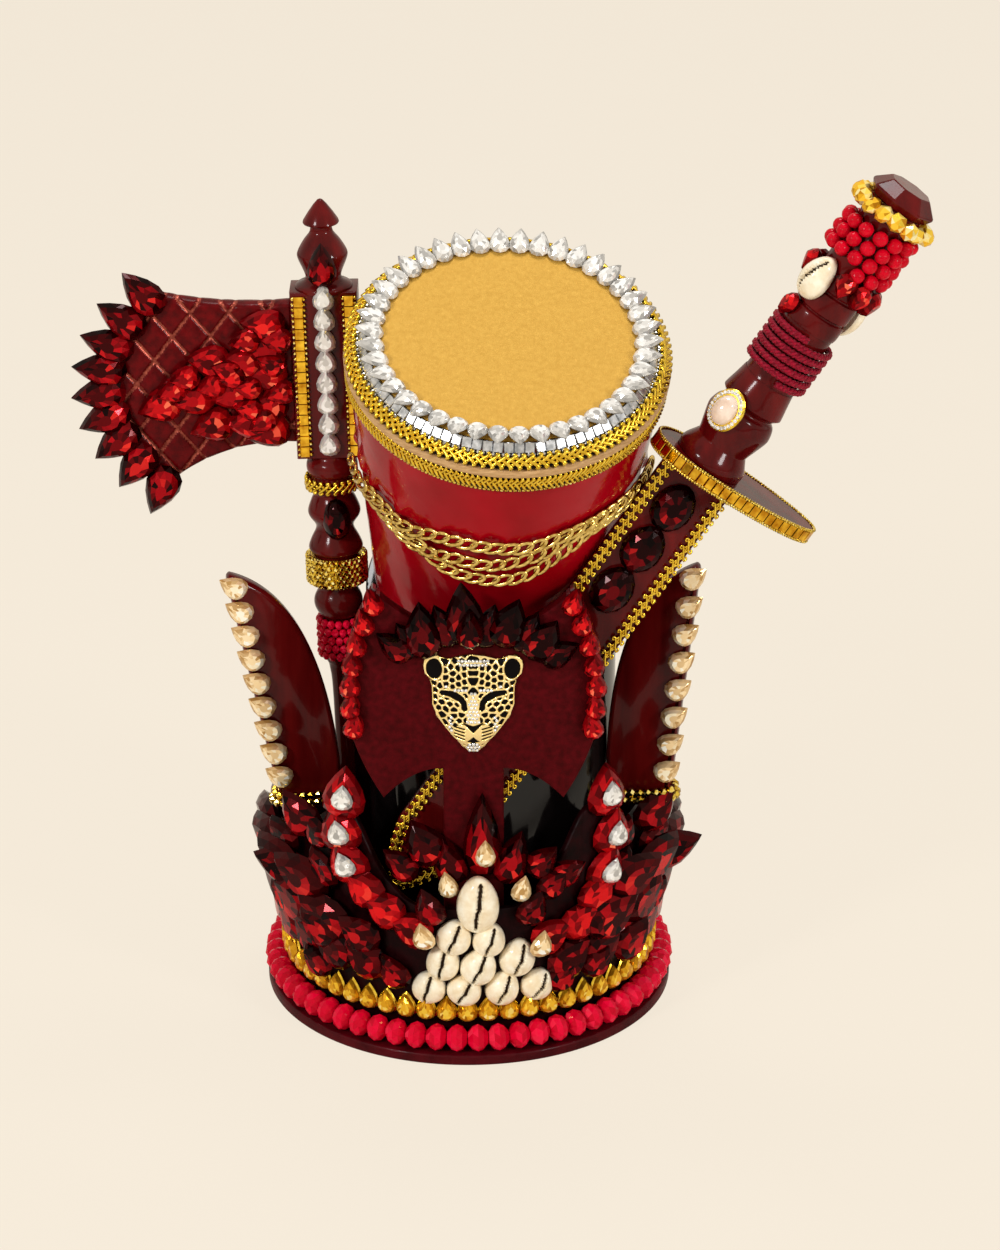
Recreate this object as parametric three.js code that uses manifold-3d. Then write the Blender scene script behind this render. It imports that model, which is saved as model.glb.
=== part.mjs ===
// Altar crown for an orisha of thunder: a jewelled round base that carries a drum on a post,
// an axe, a sword, a double-axe plate and two wings.
// Millimetres, +Z up, the front faces -Y, the origin is the middle of the base's underside.
import * as THREE from "three";
import { mergeVertices } from "three/addons/utils/BufferGeometryUtils.js";
import Module from "manifold-3d";

const wasm = await Module();
wasm.setup();

// Shared sizes
const deg = Math.PI / 180;
const gap = 0.3; // glue line between two pieces that touch
const overrun = 2; // how far a cutting tool passes the piece it cuts
const weld = 0.0005; // vertices closer than this are one

// Round base board
const boardRadius = 98;
const boardHeight = 5.6;
const boardRounding = 1.2;

// Band that stands on the board, with a dip in front and a peak on each side of it
const bandRadius = 86;
const bandWall = 3.5;
const bandHeight = 100;
const bandDip = 24;
const bandDipAngle = 27;
const bandPeak = 19;
const bandPeakAngle = 42;
const bandPeakSpread = 13;

// Coral rondelles round the board and amber pears above them
const coralCount = 60;
const coralDiameter = 13;
const coralRingRadius = bandRadius + gap + coralDiameter / 2 + gap;
const amberCount = 56;
const amberLength = 12.5;
const amberDepth = 4.6;
const stoneLap = 1.08; // stones of a ring are wider than their pitch by this factor

// Core post, cut on a slant to carry the leaning drum
const coreRadius = 59;
const coreOffset = 11;
const coreFlange = 2;
const coreFlangeHeight = 9;

// Drum
const drumLean = 25;
const drumTurn = 3;
const drumFootDepth = 8.6;
const drumFootHeight = 204.8; // the sword, the axe and the double axe are placed from it
const drumFootRadius = 55;
const drumWaistRadius = 61.5;
const drumWaistHeight = 60;
const drumShellBottom = 92;
const drumShellRadius = 66;
const drumShellStep = 1.2;
const drumNeckRadius = 70;
const drumTrimBottom = 131;
const drumTrimThickness = 2;
const drumHoopBottom = 142;
const drumHoopTop = 147;
const drumHoopThickness = 3.2;
const drumShoulder = 7;
const braidThickness = 1.8;
const mirrorThickness = 1.2;
const skinThickness = 1.2;
const headStoneCount = 36;
const headStoneLength = 12.5;
const headStoneDepth = 4.5;
const headStoneInset = 2.5; // from the skin's rim to the middle of a stone

// Curb chain hung in three swags on the drum
const chainLinkCount = 12;
const chainWidth = 4.4;
const chainThickness = 2.2;

// Sword: it leans, and its point stays where it is when the blade gets longer
const swordTipX = -36.2;
const swordTipDrop = 130; // its point below the drum's foot
const swordLean = 34;
const bladeThickness = 6;
const bladeWidth = 35;
const bladeLength = 256;
const bladePoint = 34;
const bladeEdgeBevel = 1.5;
const swordDepth = coreRadius + gap + bladeThickness / 2;
const swordX = swordTipX + bladeLength * Math.sin(swordLean * deg);
const swordHeight = drumFootHeight - swordTipDrop + bladeLength * Math.cos(swordLean * deg);
const bladeBraidWidth = 5;
const bladeStoneCount = 3;
const bladeStoneSpacing = 24;
const bladeStoneDepth = 4.6;
const bladeStoneMargin = 3;
const bladeStoneShift = 2.5;
const guardReach = 58;
const guardStub = 26;
const guardDepth = 36;
const guardThickness = 6.5;
const guardTapeThickness = 0.9;
const braidOverhang = 1;
const gripRadius = 16.5;
const gripLength = 147;
const pommelLength = 10;
const ropeDiameter = 3.4;
const ropeTurnCount = 6;
const ropePitch = 4;
const wrapBeadDiameter = 6;
const wrapBeadPitch = 6.5;
const wrapTurnCount = 3;
const wrapBeadCount = 14;

// Labrys, the double-axe plate in front
const labrysThickness = 8;
const labrysX = 3;
const labrysRise = 28.2; // its corners above the drum's foot
const labrysTop = drumFootHeight + labrysRise;
const labrysHeight = 104.5;
const labrysBottom = labrysTop - labrysHeight;
const labrysHalfSpan = 59;
const labrysHalfTop = 46;
const labrysHalfBottom = 41.5;
const labrysDip = 23;
const labrysBevel = 0.8;
const labrysWaistRise = 15;
const labrysWaist = labrysBottom + labrysWaistRise;
const labrysHalfWaist = 14;
const labrysBack = swordDepth + bladeThickness / 2 + braidThickness + 2 * gap;
const labrysFront = labrysBack + labrysThickness;

// Axe
const axeX = -61;
const axeBallDrop = 8.8; // the middle of its turned ball below the drum's foot
const axeBallHeight = drumFootHeight - axeBallDrop;
const axeLean = 1.6;
const axeRadius = 13;
const blockWidth = 31;
const blockDepth = 20;
const blockRise = 75; // the squared block above the ball
const blockHeight = 81;
const blockBottom = axeBallHeight + blockRise;
const blockTop = blockBottom + blockHeight;
const blockBevel = 1.2;
const finialHeight = 41.5;
const axeBladeThickness = 9;
const axeBladeReach = 98;
const axeBladeRoot = 69;
const axeBladeSpan = 96;
const axeBladeBevel = 1.2;
const axeBladeHollow = 2; // how far its upper and lower edges bend in
const axeEdgeCount = 9;
const axeColumnCount = 8;

// Wings
const wingX = 3.5;
const wingInner = 64.5;
const wingDepth = 24;
const wingTurn = 12;
const wingBase = bandHeight + 6 * gap;
const wingWidth = 28;
const wingFlare = 24;
const wingHeight = 122;
const wingHeel = 24;
const wingThickness = 10;
const wingBevel = 2.5;
const wingBeadDiameter = 5;
const wingBowX = 8.4; // handle of the curve of its inner edge
const wingBowHeight = 109.8;
const wingStoneFirst = 23; // heights of the lowest and the highest pear
const wingStoneLast = 114.5;
const wingStoneRoll = 42;

// Colours of the materials
const finishes = {
  board: finish("#3a0d12", 0.45, 0),
  coral: finish("#c8102e", 0.35, 0),
  amber: finish("#e0a010", 0.12, 0),
  black: finish("#0c0a0b", 0.12, 0),
  garnet: finish("#5a0410", 0.08, 0),
  ruby: finish("#c40c1c", 0.08, 0),
  shell: finish("#e9dcc0", 0.35, 0),
  lacquer: finish("#42090f", 0.25, 0),
  satin: finish("#3d0a0e", 0.55, 0),
  gold: finish("#d6a520", 0.3, 1),
  champagne: finish("#e6c08a", 0.08, 0),
  clear: finish("#e8e8ea", 0.05, 0),
  redGloss: finish("#a50812", 0.12, 0),
  wood: finish("#d9b07c", 0.5, 0),
  skin: finish("#c99a45", 0.6, 0),
  mirror: finish("#c8ccd0", 0.08, 1),
  amberMirror: finish("#d08a10", 0.12, 1),
  rope: finish("#8c0a22", 0.6, 0),
  pearl: finish("#ecd6bd", 0.2, 0),
};

function finish(color, roughness, metalness) {
  return new THREE.MeshStandardMaterial({ color, roughness, metalness, flatShading: true });
}

// Solids

function solidOf(geometry) {
  const bare = geometry.clone();
  bare.deleteAttribute("normal");
  bare.deleteAttribute("uv");
  const merged = mergeVertices(bare, weld);
  return new wasm.Manifold(
    new wasm.Mesh({
      numProp: 3,
      vertProperties: merged.attributes.position.array,
      triVerts: new Uint32Array(merged.index.array),
    }),
  );
}

function geometryOf(solid) {
  const made = solid.getMesh();
  const geometry = new THREE.BufferGeometry();
  geometry.setAttribute("position", new THREE.BufferAttribute(new Float32Array(made.vertProperties), 3));
  geometry.setIndex(new THREE.BufferAttribute(new Uint32Array(made.triVerts), 1));
  return geometry;
}

function fuse(geometries) {
  return geometryOf(geometries.map(solidOf).reduce((all, next) => all.add(next)));
}

function cut(geometry, tools) {
  return geometryOf(tools.map(solidOf).reduce((rest, tool) => rest.subtract(tool), solidOf(geometry)));
}

function mesh(name, geometry, material) {
  const made = new THREE.Mesh(geometry, material);
  made.name = name;
  return made;
}

function moved(geometry, x, y, z) {
  return geometry.clone().translate(x, y, z);
}

// A solid turned about the z axis from pairs of radius and height, listed from the bottom up
function turned(profile, segments) {
  const points = profile.map(([radius, height]) => new THREE.Vector2(radius, height));
  return new THREE.LatheGeometry(points, segments).rotateX(90 * deg);
}

// A ring turned about the z axis from a closed profile
function turnedRing(profile, segments) {
  return turned([...profile, profile[0]], segments);
}

// A plate drawn in x and z, its back on the plane y = 0 and its front towards -y
function plate(shape, thickness, bevel, curveSegments = 6) {
  const settings = {
    depth: thickness - 2 * bevel,
    bevelEnabled: bevel > 0,
    bevelThickness: bevel,
    bevelSize: bevel,
    bevelOffset: -bevel,
    bevelSegments: 1,
    curveSegments,
  };
  return new THREE.ExtrudeGeometry(shape, settings).translate(0, 0, bevel).rotateX(90 * deg);
}

// A tube through stations, each with its place, two directions across it and a half size along each
function sweep(stations, sides, closed) {
  const places = [];
  const faces = [];
  const turns = Array.from({ length: sides }, (_, side) => (side / sides) * 2 * Math.PI);
  for (const { at, across, out, half } of stations) {
    for (const turn of turns) {
      places.push(
        at
          .clone()
          .addScaledVector(across, half[0] * Math.cos(turn))
          .addScaledVector(out, half[1] * Math.sin(turn)),
      );
    }
  }
  const count = stations.length;
  const last = closed ? count : count - 1;
  for (let ring = 0; ring < last; ring++) {
    const here = ring * sides;
    const there = ((ring + 1) % count) * sides;
    for (let side = 0; side < sides; side++) {
      const next = (side + 1) % sides;
      faces.push(here + side, here + next, there + next, here + side, there + next, there + side);
    }
  }
  if (!closed) {
    for (let side = 1; side < sides - 1; side++) {
      faces.push(0, side + 1, side);
      const end = (count - 1) * sides;
      faces.push(end, end + side, end + side + 1);
    }
  }
  const geometry = new THREE.BufferGeometry().setFromPoints(places);
  geometry.setIndex(faces);
  return solidOf(geometry).volume() < 0 ? reversed(geometry) : geometry;
}

function reversed(geometry) {
  const order = Array.from(geometry.index.array);
  for (let face = 0; face < order.length; face += 3) {
    [order[face + 1], order[face + 2]] = [order[face + 2], order[face + 1]];
  }
  return geometry.clone().setIndex(order);
}

// Beads strung along a route: each bead swells from its waist to its belly
function beadStrand(route, beads, radius, sides, closed, waistShare = 0.55, flatShare = 1) {
  const stations = [];
  const last = closed ? 2 * beads : 2 * beads + 1;
  for (let step = 0; step < last; step++) {
    const { at, across, out } = route(step / (2 * beads));
    const belly = step % 2 ? radius : radius * waistShare;
    stations.push({ at, across, out, half: [belly, belly * flatShare] });
  }
  return sweep(stations, sides, closed);
}

// A cut stone: flat back on z = 0, table towards +z, tip towards +y
const tableShare = 0.55;
const tipPinchShare = 0.42;
const bellyShare = 0.25;
function stone({ length, width, depth, sides = 6, tail = 0, tip = tipPinchShare }) {
  const made = new THREE.CylinderGeometry(tableShare, 1, 1, sides, 1);
  made.rotateY(180 * deg).rotateX(90 * deg).translate(0, 0, 1 / 2);
  const place = made.attributes.position;
  let widest = 0;
  for (let i = 0; i < place.count; i++) {
    const x = place.getX(i);
    const y = place.getY(i);
    place.setX(i, x * (1 - tip * Math.max(y, 0) - tail * Math.max(-y, 0)));
    place.setY(i, y - bellyShare * (1 - tail) * (1 - y * y) * (1 - place.getZ(i) * (1 - tableShare)));
    widest = Math.max(widest, Math.abs(place.getX(i)));
  }
  return made.scale(width / 2 / widest, length / 2, depth);
}

// Turns a piece made on z = 0 so that it faces out, with its own +y along up, rolled and leant
function seated(geometry, at, out, roll = 0, lean = 0, up = new THREE.Vector3(0, 0, 1)) {
  const along = up.clone().addScaledVector(out, -up.dot(out)).normalize();
  const right = new THREE.Vector3().crossVectors(along, out);
  const frame = new THREE.Matrix4().makeBasis(right, along, out);
  geometry.computeBoundingBox();
  const heel = geometry.boundingBox.min.y;
  const leant = moved(geometry, 0, -heel, 0).rotateX(lean * deg);
  return leant.translate(0, heel, 0).rotateZ(-roll * deg).applyMatrix4(frame).translate(at.x, at.y, at.z);
}

// A direction from the axis, counted from the front towards +x
function heading(angle) {
  return new THREE.Vector3(Math.sin(angle * deg), -Math.cos(angle * deg), 0);
}

function onBand(geometry, angle, height, roll, lean = 0, lift = gap) {
  const out = heading(angle);
  const at = out.clone().multiplyScalar(bandRadius + lift);
  at.z = height;
  return seated(geometry, at, out, roll, lean);
}

const front = new THREE.Vector3(0, -1, 0);

function onFront(geometry, x, depth, height, roll, lean = 0) {
  return seated(geometry, new THREE.Vector3(x, -depth, height), front, roll, lean);
}

// Height of the band's top edge at an angle from the front
function smooth(share) {
  const inside = Math.min(Math.max(share, 0), 1);
  return inside * inside * (3 - 2 * inside);
}

function bandTop(angle) {
  const side = Math.abs(((((angle + 180) % 360) + 360) % 360) - 180);
  const dip = 1 - smooth((side - bandDipAngle / 2) / (bandPeakAngle - bandDipAngle / 2));
  const peak = Math.exp(-(((side - bandPeakAngle) / bandPeakSpread) ** 2));
  return bandHeight - bandDip * dip + bandPeak * peak * (1 - dip);
}

// Base board
function makeBoard() {
  const profile = [
    [0, 0],
    [boardRadius - boardRounding, 0],
    [boardRadius, boardRounding],
    [boardRadius, boardHeight - boardRounding],
    [boardRadius - boardRounding, boardHeight],
    [0, boardHeight],
  ];
  return mesh("base_disc", turned(profile, 40), finishes.board);
}

// Band
const bandSideCount = 48;
const bandFoot = boardHeight + gap;
function makeBand() {
  const inner = bandRadius - bandWall;
  const ring = turnedRing(
    [
      [bandRadius, bandFoot],
      [bandRadius, bandHeight],
      [inner, bandHeight],
      [inner, bandFoot],
    ],
    bandSideCount,
  );
  const place = ring.attributes.position;
  for (let i = 0; i < place.count; i++) {
    if (place.getZ(i) > (bandFoot + bandHeight) / 2) {
      const angle = Math.atan2(place.getX(i), -place.getY(i)) / deg;
      place.setZ(i, bandTop(angle));
    }
  }
  return mesh("crown_band", ring, finishes.board);
}

// Rings of coral rondelles and amber pears
function makeCoralRing() {
  const height = boardHeight + gap + coralDiameter / 2;
  const route = (share) => {
    const out = heading(share * 360);
    const at = out.clone().multiplyScalar(coralRingRadius).setZ(height);
    return { at, across: new THREE.Vector3(0, 0, 1), out };
  };
  const ring = beadStrand(route, coralCount, coralDiameter / 2, 5, true, 0.5);
  return mesh("coral_bead_ring", ring, finishes.coral);
}

const amberHeight = boardHeight + coralDiameter + 3 * gap + amberLength / 2;
function makeAmberRing() {
  const pitch = 360 / amberCount;
  const width = 2 * (bandRadius + gap) * Math.tan((pitch / 2) * deg) * stoneLap;
  const pear = stone({ length: amberLength, width, depth: amberDepth, sides: 4 });
  const stones = Array.from({ length: amberCount }, (_, i) => onBand(pear, i * pitch, amberHeight, 0));
  return mesh("amber_stone_ring", fuse(stones), finishes.amber);
}

// Rows of large garnets that sweep up and back from the front like feathers
const garnetBottom = amberHeight + amberLength / 2;
const garnetSmall = { length: 27, width: 21, depth: 7, sides: 5, tail: 0.1 };
const garnetLarge = { length: 34, width: 25, depth: 8.5, sides: 5, tail: 0.1 };
const garnetLast = 162;
function garnetRows() {
  const rise = bandHeight - garnetBottom;
  return [
    { size: garnetSmall, heightShare: 0.22, from: 33, count: 10, roll: 48, lean: 3 },
    { size: garnetLarge, heightShare: 0.46, from: 48, count: 7, roll: 55, lean: 8 },
    { size: garnetLarge, heightShare: 0.76, from: 57, count: 7, roll: 55, lean: 16 },
  ].map((row) => ({ ...row, height: garnetBottom + row.heightShare * rise }));
}

function makeGarnets(name, side) {
  const stones = garnetRows().flatMap(({ size, height, from, count, roll, lean }) =>
    Array.from({ length: count }, (_, i) => {
      const share = i / (count - 1);
      const angle = side * (from + share * (garnetLast - from));
      return onBand(stone(size), angle, height, side * roll, lean);
    }),
  );
  return mesh(name, fuse(stones), finishes.garnet);
}

// Ruby swags that follow the front edge of the band up to the wings
const rubyPear = { length: 23, width: 18, depth: 7, sides: 5 };
const swagPlaces = [
  { angle: 21, riseShare: -0.2, roll: -66 },
  { angle: 28.7, riseShare: -0.05, roll: -58 },
  { angle: 34.4, riseShare: 0.13, roll: -42 },
  { angle: 38.6, riseShare: 0.38, roll: -24 },
  { angle: 40.3, riseShare: 0.64, roll: -8 },
  { angle: 40, riseShare: 0.96, roll: 2 },
];
function makeSwag(name, side) {
  const low = bandHeight - bandDip;
  const last = swagPlaces.length - 1;
  const stones = swagPlaces.map(({ angle, riseShare, roll }, i) => {
    const turn = side * angle + pyramidAngle * (1 - i / last);
    return onBand(stone(rubyPear), turn, low + riseShare * (bandDip + bandPeak), -side * roll);
  });
  return mesh(name, fuse(stones), finishes.ruby);
}

// A cowrie: a domed shell with a slit along it, its flat mouth outwards
const slitShares = { across: 0.11, along: 0.8, deep: 0.33 };
function cowrie({ length, width, depth }) {
  const dome = new THREE.SphereGeometry(1, 8, 4).scale(width / 2, length / 2, depth / 2);
  const across = width * slitShares.across;
  const along = length * slitShares.along;
  const deep = depth * slitShares.deep;
  const slit = new THREE.BoxGeometry(across, along, deep).translate(0, 0, depth / 2);
  return moved(cut(dome, [slit]), 0, 0, depth / 2);
}

// Pyramid of cowries in front, the largest on top
const cowrieShell = { length: 13.6, width: 13, depth: 8 };
const topCowrieShell = { length: 29, width: 20, depth: 8 };
const cowrieFootGap = 2.1; // from the amber pears to the lowest row
const cowrieRowGap = 1.4;
const topCowrieLap = 4; // the largest shell reaches down between the two under it
const topCowrieLift = 7 * gap;
const pyramidAngle = 4;
const pyramidRowCounts = [4, 3, 2];
function makeCowries() {
  const rowPitch = cowrieShell.length + cowrieRowGap;
  const step = ((cowrieShell.width + 2 * gap) / (bandRadius + gap)) / deg;
  const base = amberHeight + (amberLength + cowrieShell.length) / 2 + cowrieFootGap;
  const made = [];
  pyramidRowCounts.forEach((count, row) => {
    for (let i = 0; i < count; i++) {
      const angle = pyramidAngle + (i - (count - 1) / 2) * step;
      made.push(onBand(cowrie(cowrieShell), angle, base + row * rowPitch, 0));
    }
  });
  const topRow = base + (pyramidRowCounts.length - 1) * rowPitch;
  const topHeight = topRow + (cowrieShell.length + topCowrieShell.length) / 2 - topCowrieLap;
  made.push(onBand(cowrie(topCowrieShell), pyramidAngle, topHeight, 0, 0, topCowrieLift));
  return made.map((shell, i) => mesh("cowrie_" + String(i + 1).padStart(2, "0"), shell, finishes.shell));
}

// Garnets and champagne pears that fan out above the cowries, against the plate's shaft
const fanDepth = 9.5;
const fanScale = labrysHalfSpan;
const fanShares = [
  { x: 0.119, rise: 0.593, roll: 0, length: 0.746, width: 0.305 },
  { x: 0.356, rise: 0.398, roll: 18, length: 0.492, width: 0.288 },
  { x: 0.593, rise: 0.364, roll: 42, length: 0.339, width: 0.254 },
  { x: -0.339, rise: 0.525, roll: -28, length: 0.458, width: 0.339 },
  { x: -0.136, rise: 0.373, roll: -16, length: 0.441, width: 0.288 },
];
function makeFan() {
  const low = bandHeight - bandDip;
  const stones = fanShares.map(({ x, rise, roll, length, width }) => {
    const size = { length: length * fanScale, width: width * fanScale, depth: fanDepth };
    const garnet = stone({ ...size, tail: 0.15 });
    return onFront(garnet, x * fanScale, labrysFront + gap, low + rise * fanScale, roll);
  });
  return mesh("front_fan", fuse(stones), finishes.garnet);
}

// The drum's own frame: z runs up its axis from the middle of its foot
function drumFrame() {
  const frame = new THREE.Group();
  frame.position.set(coreOffset, drumFootDepth, drumFootHeight);
  frame.rotation.set(drumLean * deg, drumTurn * deg, 0);
  frame.updateMatrixWorld(true);
  return frame;
}

// Core post with a small flange, its top cut parallel to the drum's foot
const drumSideCount = 30;
function makeCore() {
  const high = drumFootHeight + coreRadius;
  const profile = [
    [0, bandFoot],
    [coreRadius + coreFlange, bandFoot],
    [coreRadius + coreFlange, bandFoot + coreFlangeHeight / 2],
    [coreRadius, bandFoot + coreFlangeHeight],
    [coreRadius, high],
    [0, high],
  ];
  const post = moved(turned(profile, drumSideCount), coreOffset, 0, 0);
  const span = 4 * coreRadius;
  const slice = new THREE.BoxGeometry(span, span, span).translate(0, 0, span / 2);
  return mesh("core_post", cut(post, [slice.applyMatrix4(drumFrame().matrixWorld)]), finishes.black);
}

// Drum body: a tapering foot, a red shell that laps over it and a sloping shoulder under the skin
const drumTop = drumHoopTop + drumShoulder;
function makeDrumBody() {
  const profile = [
    [0, gap],
    [drumFootRadius, gap],
    [drumWaistRadius, drumWaistHeight],
    [drumShellRadius - drumShellStep, drumShellBottom],
    [drumShellRadius, drumShellBottom],
    [drumNeckRadius, drumTrimBottom],
    [drumNeckRadius, drumHoopTop],
    [drumNeckRadius - drumShoulder, drumTop],
    [0, drumTop],
  ];
  return mesh("drum_body", turned(profile, drumSideCount), finishes.redGloss);
}

function drumRadius(height) {
  const places = [
    [drumFootRadius, 0],
    [drumWaistRadius, drumWaistHeight],
    [drumShellRadius, drumShellBottom],
    [drumNeckRadius, drumTrimBottom],
  ];
  for (let i = 1; i < places.length; i++) {
    const [r1, h1] = places[i];
    const [r0, h0] = places[i - 1];
    if (height <= h1) {
      return r0 + ((r1 - r0) * (height - h0)) / (h1 - h0);
    }
  }
  return drumNeckRadius;
}

// A plain ring round the drum's neck
function neckRing(name, low, high, thickness, material) {
  const inner = drumNeckRadius + gap;
  const outer = inner + thickness;
  const profile = [
    [outer, low],
    [outer, high],
    [inner, high],
    [inner, low],
  ];
  return mesh(name, turnedRing(profile, drumSideCount), material);
}

// A ring on the sloping shoulder, between two shares of its length
const braidShares = [0.06, 0.6];
const mirrorShares = [0.64, 0.98];
function shoulderRing(name, [fromShare, toShare], thickness, material) {
  const slope = (share, lift) => {
    const along = share * drumShoulder;
    const side = lift / Math.SQRT2;
    return [drumNeckRadius - along + side, drumHoopTop + along + side];
  };
  const profile = [
    slope(fromShare, gap),
    slope(fromShare, gap + thickness),
    slope(toShare, gap + thickness),
    slope(toShare, gap),
  ];
  return mesh(name, turnedRing(profile, drumSideCount), material);
}

function makeSkin() {
  const radius = drumNeckRadius - drumShoulder - gap;
  const low = drumTop + gap;
  const profile = [
    [0, low],
    [radius, low],
    [radius, low + skinThickness],
    [0, low + skinThickness],
  ];
  return mesh("drum_skin", turned(profile, drumSideCount), finishes.skin);
}

function makeHeadStones() {
  const radius = drumNeckRadius - drumShoulder - headStoneInset;
  const width = ((2 * Math.PI * radius) / headStoneCount) * stoneLap ** 1.5;
  const pear = stone({ length: headStoneLength, width, depth: headStoneDepth, sides: 4 });
  const up = new THREE.Vector3(0, 0, 1);
  const stones = Array.from({ length: headStoneCount }, (_, i) => {
    const outward = heading((i / headStoneCount) * 360);
    const at = outward.clone().multiplyScalar(radius).setZ(drumTop + skinThickness + 2 * gap);
    return seated(pear, at, up, 0, 0, outward);
  });
  return mesh("drum_gem_ring", fuse(stones), finishes.clear);
}

// Curb chain in three swags: angles round the drum and shares of the height of its lapped shell
const chainStartShares = [[-80, 0.93]];
const chainEndShares = [[75, 1.02]];
const chainShares = [
  [[-56, 0.97], [-37, 0.955], [-20, 0.99], [7, 0.985], [20, 1.02], [36, 1.05], [56, 1.05]],
  [[-56, 0.95], [-34, 0.84], [-18, 0.86], [-4, 0.85], [13, 0.92], [29, 1.01], [56, 1.05]],
  [[-56, 0.95], [-34, 0.88], [-23, 0.78], [-10, 0.745], [3, 0.75], [14, 0.8], [36, 1.0]],
];
function makeChain() {
  const strands = chainShares.map((middle) => {
    const shares = [...chainStartShares, ...middle, ...chainEndShares];
    const points = shares.map(([turn, share]) => new THREE.Vector3(turn, share, 0));
    const flat = new THREE.CatmullRomCurve3(points);
    const placeOf = (share) => {
      const { x: turn, y: heightShare } = flat.getPoint(share);
      const out = heading(turn);
      const height = heightShare * drumShellBottom;
      const radius = Math.max(drumRadius(height), drumShellRadius) + gap + chainThickness / 2;
      return { at: out.clone().multiplyScalar(radius).setZ(height), out };
    };
    const step = 1 / (chainLinkCount * 8);
    const route = (share) => {
      const { at, out } = placeOf(share);
      const ahead = placeOf(Math.min(share + step, 1)).at;
      const behind = placeOf(Math.max(share - step, 0)).at;
      const along = ahead.sub(behind).normalize();
      return { at, across: new THREE.Vector3().crossVectors(out, along).normalize(), out };
    };
    return beadStrand(route, chainLinkCount, chainWidth / 2, 4, false, 0.5, chainThickness / chainWidth);
  });
  return mesh("drum_chain", fuse(strands), finishes.gold);
}

function makeDrum() {
  const drum = drumFrame();
  drum.add(
    makeDrumBody(),
    neckRing("drum_lower_trim", drumTrimBottom, drumHoopBottom - gap, drumTrimThickness, finishes.gold),
    neckRing("drum_hoop", drumHoopBottom, drumHoopTop - gap, drumHoopThickness, finishes.wood),
    shoulderRing("drum_braid", braidShares, braidThickness, finishes.gold),
    shoulderRing("drum_mirror_band", mirrorShares, mirrorThickness, finishes.mirror),
    makeSkin(),
    makeHeadStones(),
    makeChain(),
  );
  return drum;
}

// Labrys plate: two bowed blades with a dip between them and a shaft that stands on the board
function labrysEdge(share) {
  const bow = 2 * labrysHalfSpan - (labrysHalfTop + labrysHalfBottom) / 2;
  const middle = (labrysTop + labrysBottom) / 2;
  const edge = new THREE.QuadraticBezierCurve(
    new THREE.Vector2(labrysHalfTop, labrysTop),
    new THREE.Vector2(bow, middle),
    new THREE.Vector2(labrysHalfBottom, labrysBottom),
  );
  return edge.getPoint(share);
}

function makeLabrys() {
  const bow = 2 * labrysHalfSpan - (labrysHalfTop + labrysHalfBottom) / 2;
  const middle = (labrysTop + labrysBottom) / 2;
  const hollow = (labrysHalfWaist + labrysHalfBottom) / 2;
  const shape = new THREE.Shape();
  shape.moveTo(-labrysHalfTop, labrysTop);
  shape.quadraticCurveTo(-bow, middle, -labrysHalfBottom, labrysBottom);
  shape.quadraticCurveTo(-hollow, labrysWaist, -labrysHalfWaist, labrysWaist);
  shape.lineTo(-labrysHalfWaist, bandFoot);
  shape.lineTo(labrysHalfWaist, bandFoot);
  shape.lineTo(labrysHalfWaist, labrysWaist);
  shape.quadraticCurveTo(hollow, labrysWaist, labrysHalfBottom, labrysBottom);
  shape.quadraticCurveTo(bow, middle, labrysHalfTop, labrysTop);
  shape.quadraticCurveTo(0, labrysTop - 2 * labrysDip, -labrysHalfTop, labrysTop);
  const made = plate(shape, labrysThickness, labrysBevel);
  return mesh("labrys_plate", moved(made, labrysX, -labrysBack, 0), finishes.satin);
}

const labrysStoneCount = 7;
const labrysStone = { length: 13.5, width: 9, depth: 4, sides: 5 };
const labrysStoneInset = 3;
const labrysFirstShare = 0.07; // places of the stones along the edge's curve
const labrysStepShare = 0.095;
const labrysFirstRoll = 12;
const labrysStepRoll = 4;
function makeLabrysStones(name, side) {
  const stones = Array.from({ length: labrysStoneCount }, (_, i) => {
    const edge = labrysEdge(labrysFirstShare + i * labrysStepShare);
    const x = labrysX + side * (edge.x - labrysStoneInset);
    const roll = side * (labrysFirstRoll - i * labrysStepRoll);
    return onFront(stone(labrysStone), x, labrysFront + gap, edge.y, roll);
  });
  return mesh(name, fuse(stones), finishes.ruby);
}

// Crest of garnets over the dip, each placed by shares of the plate's half span
const crestDepth = 6.5;
const crestShares = [
  { x: -0.63, drop: 0.44, roll: -62, length: 0.34, width: 0.24 },
  { x: -0.38, drop: 0.31, roll: -18, length: 0.5, width: 0.28 },
  { x: -0.06, drop: 0.2, roll: 0, length: 0.5, width: 0.34 },
  { x: 0.25, drop: 0.28, roll: 18, length: 0.4, width: 0.28 },
  { x: 0.48, drop: 0.4, roll: 48, length: 0.36, width: 0.27 },
  { x: 0.63, drop: 0.5, roll: 76, length: 0.4, width: 0.24 },
];
function makeCrest() {
  const span = labrysHalfSpan;
  const stones = crestShares.map(({ x, drop, roll, length, width }) => {
    const pear = stone({ length: length * span, width: width * span, depth: crestDepth, tail: 0.2 });
    return onFront(pear, labrysX + x * span, labrysFront + gap, labrysTop - drop * span, roll);
  });
  return mesh("labrys_crest", fuse(stones), finishes.garnet);
}

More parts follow.
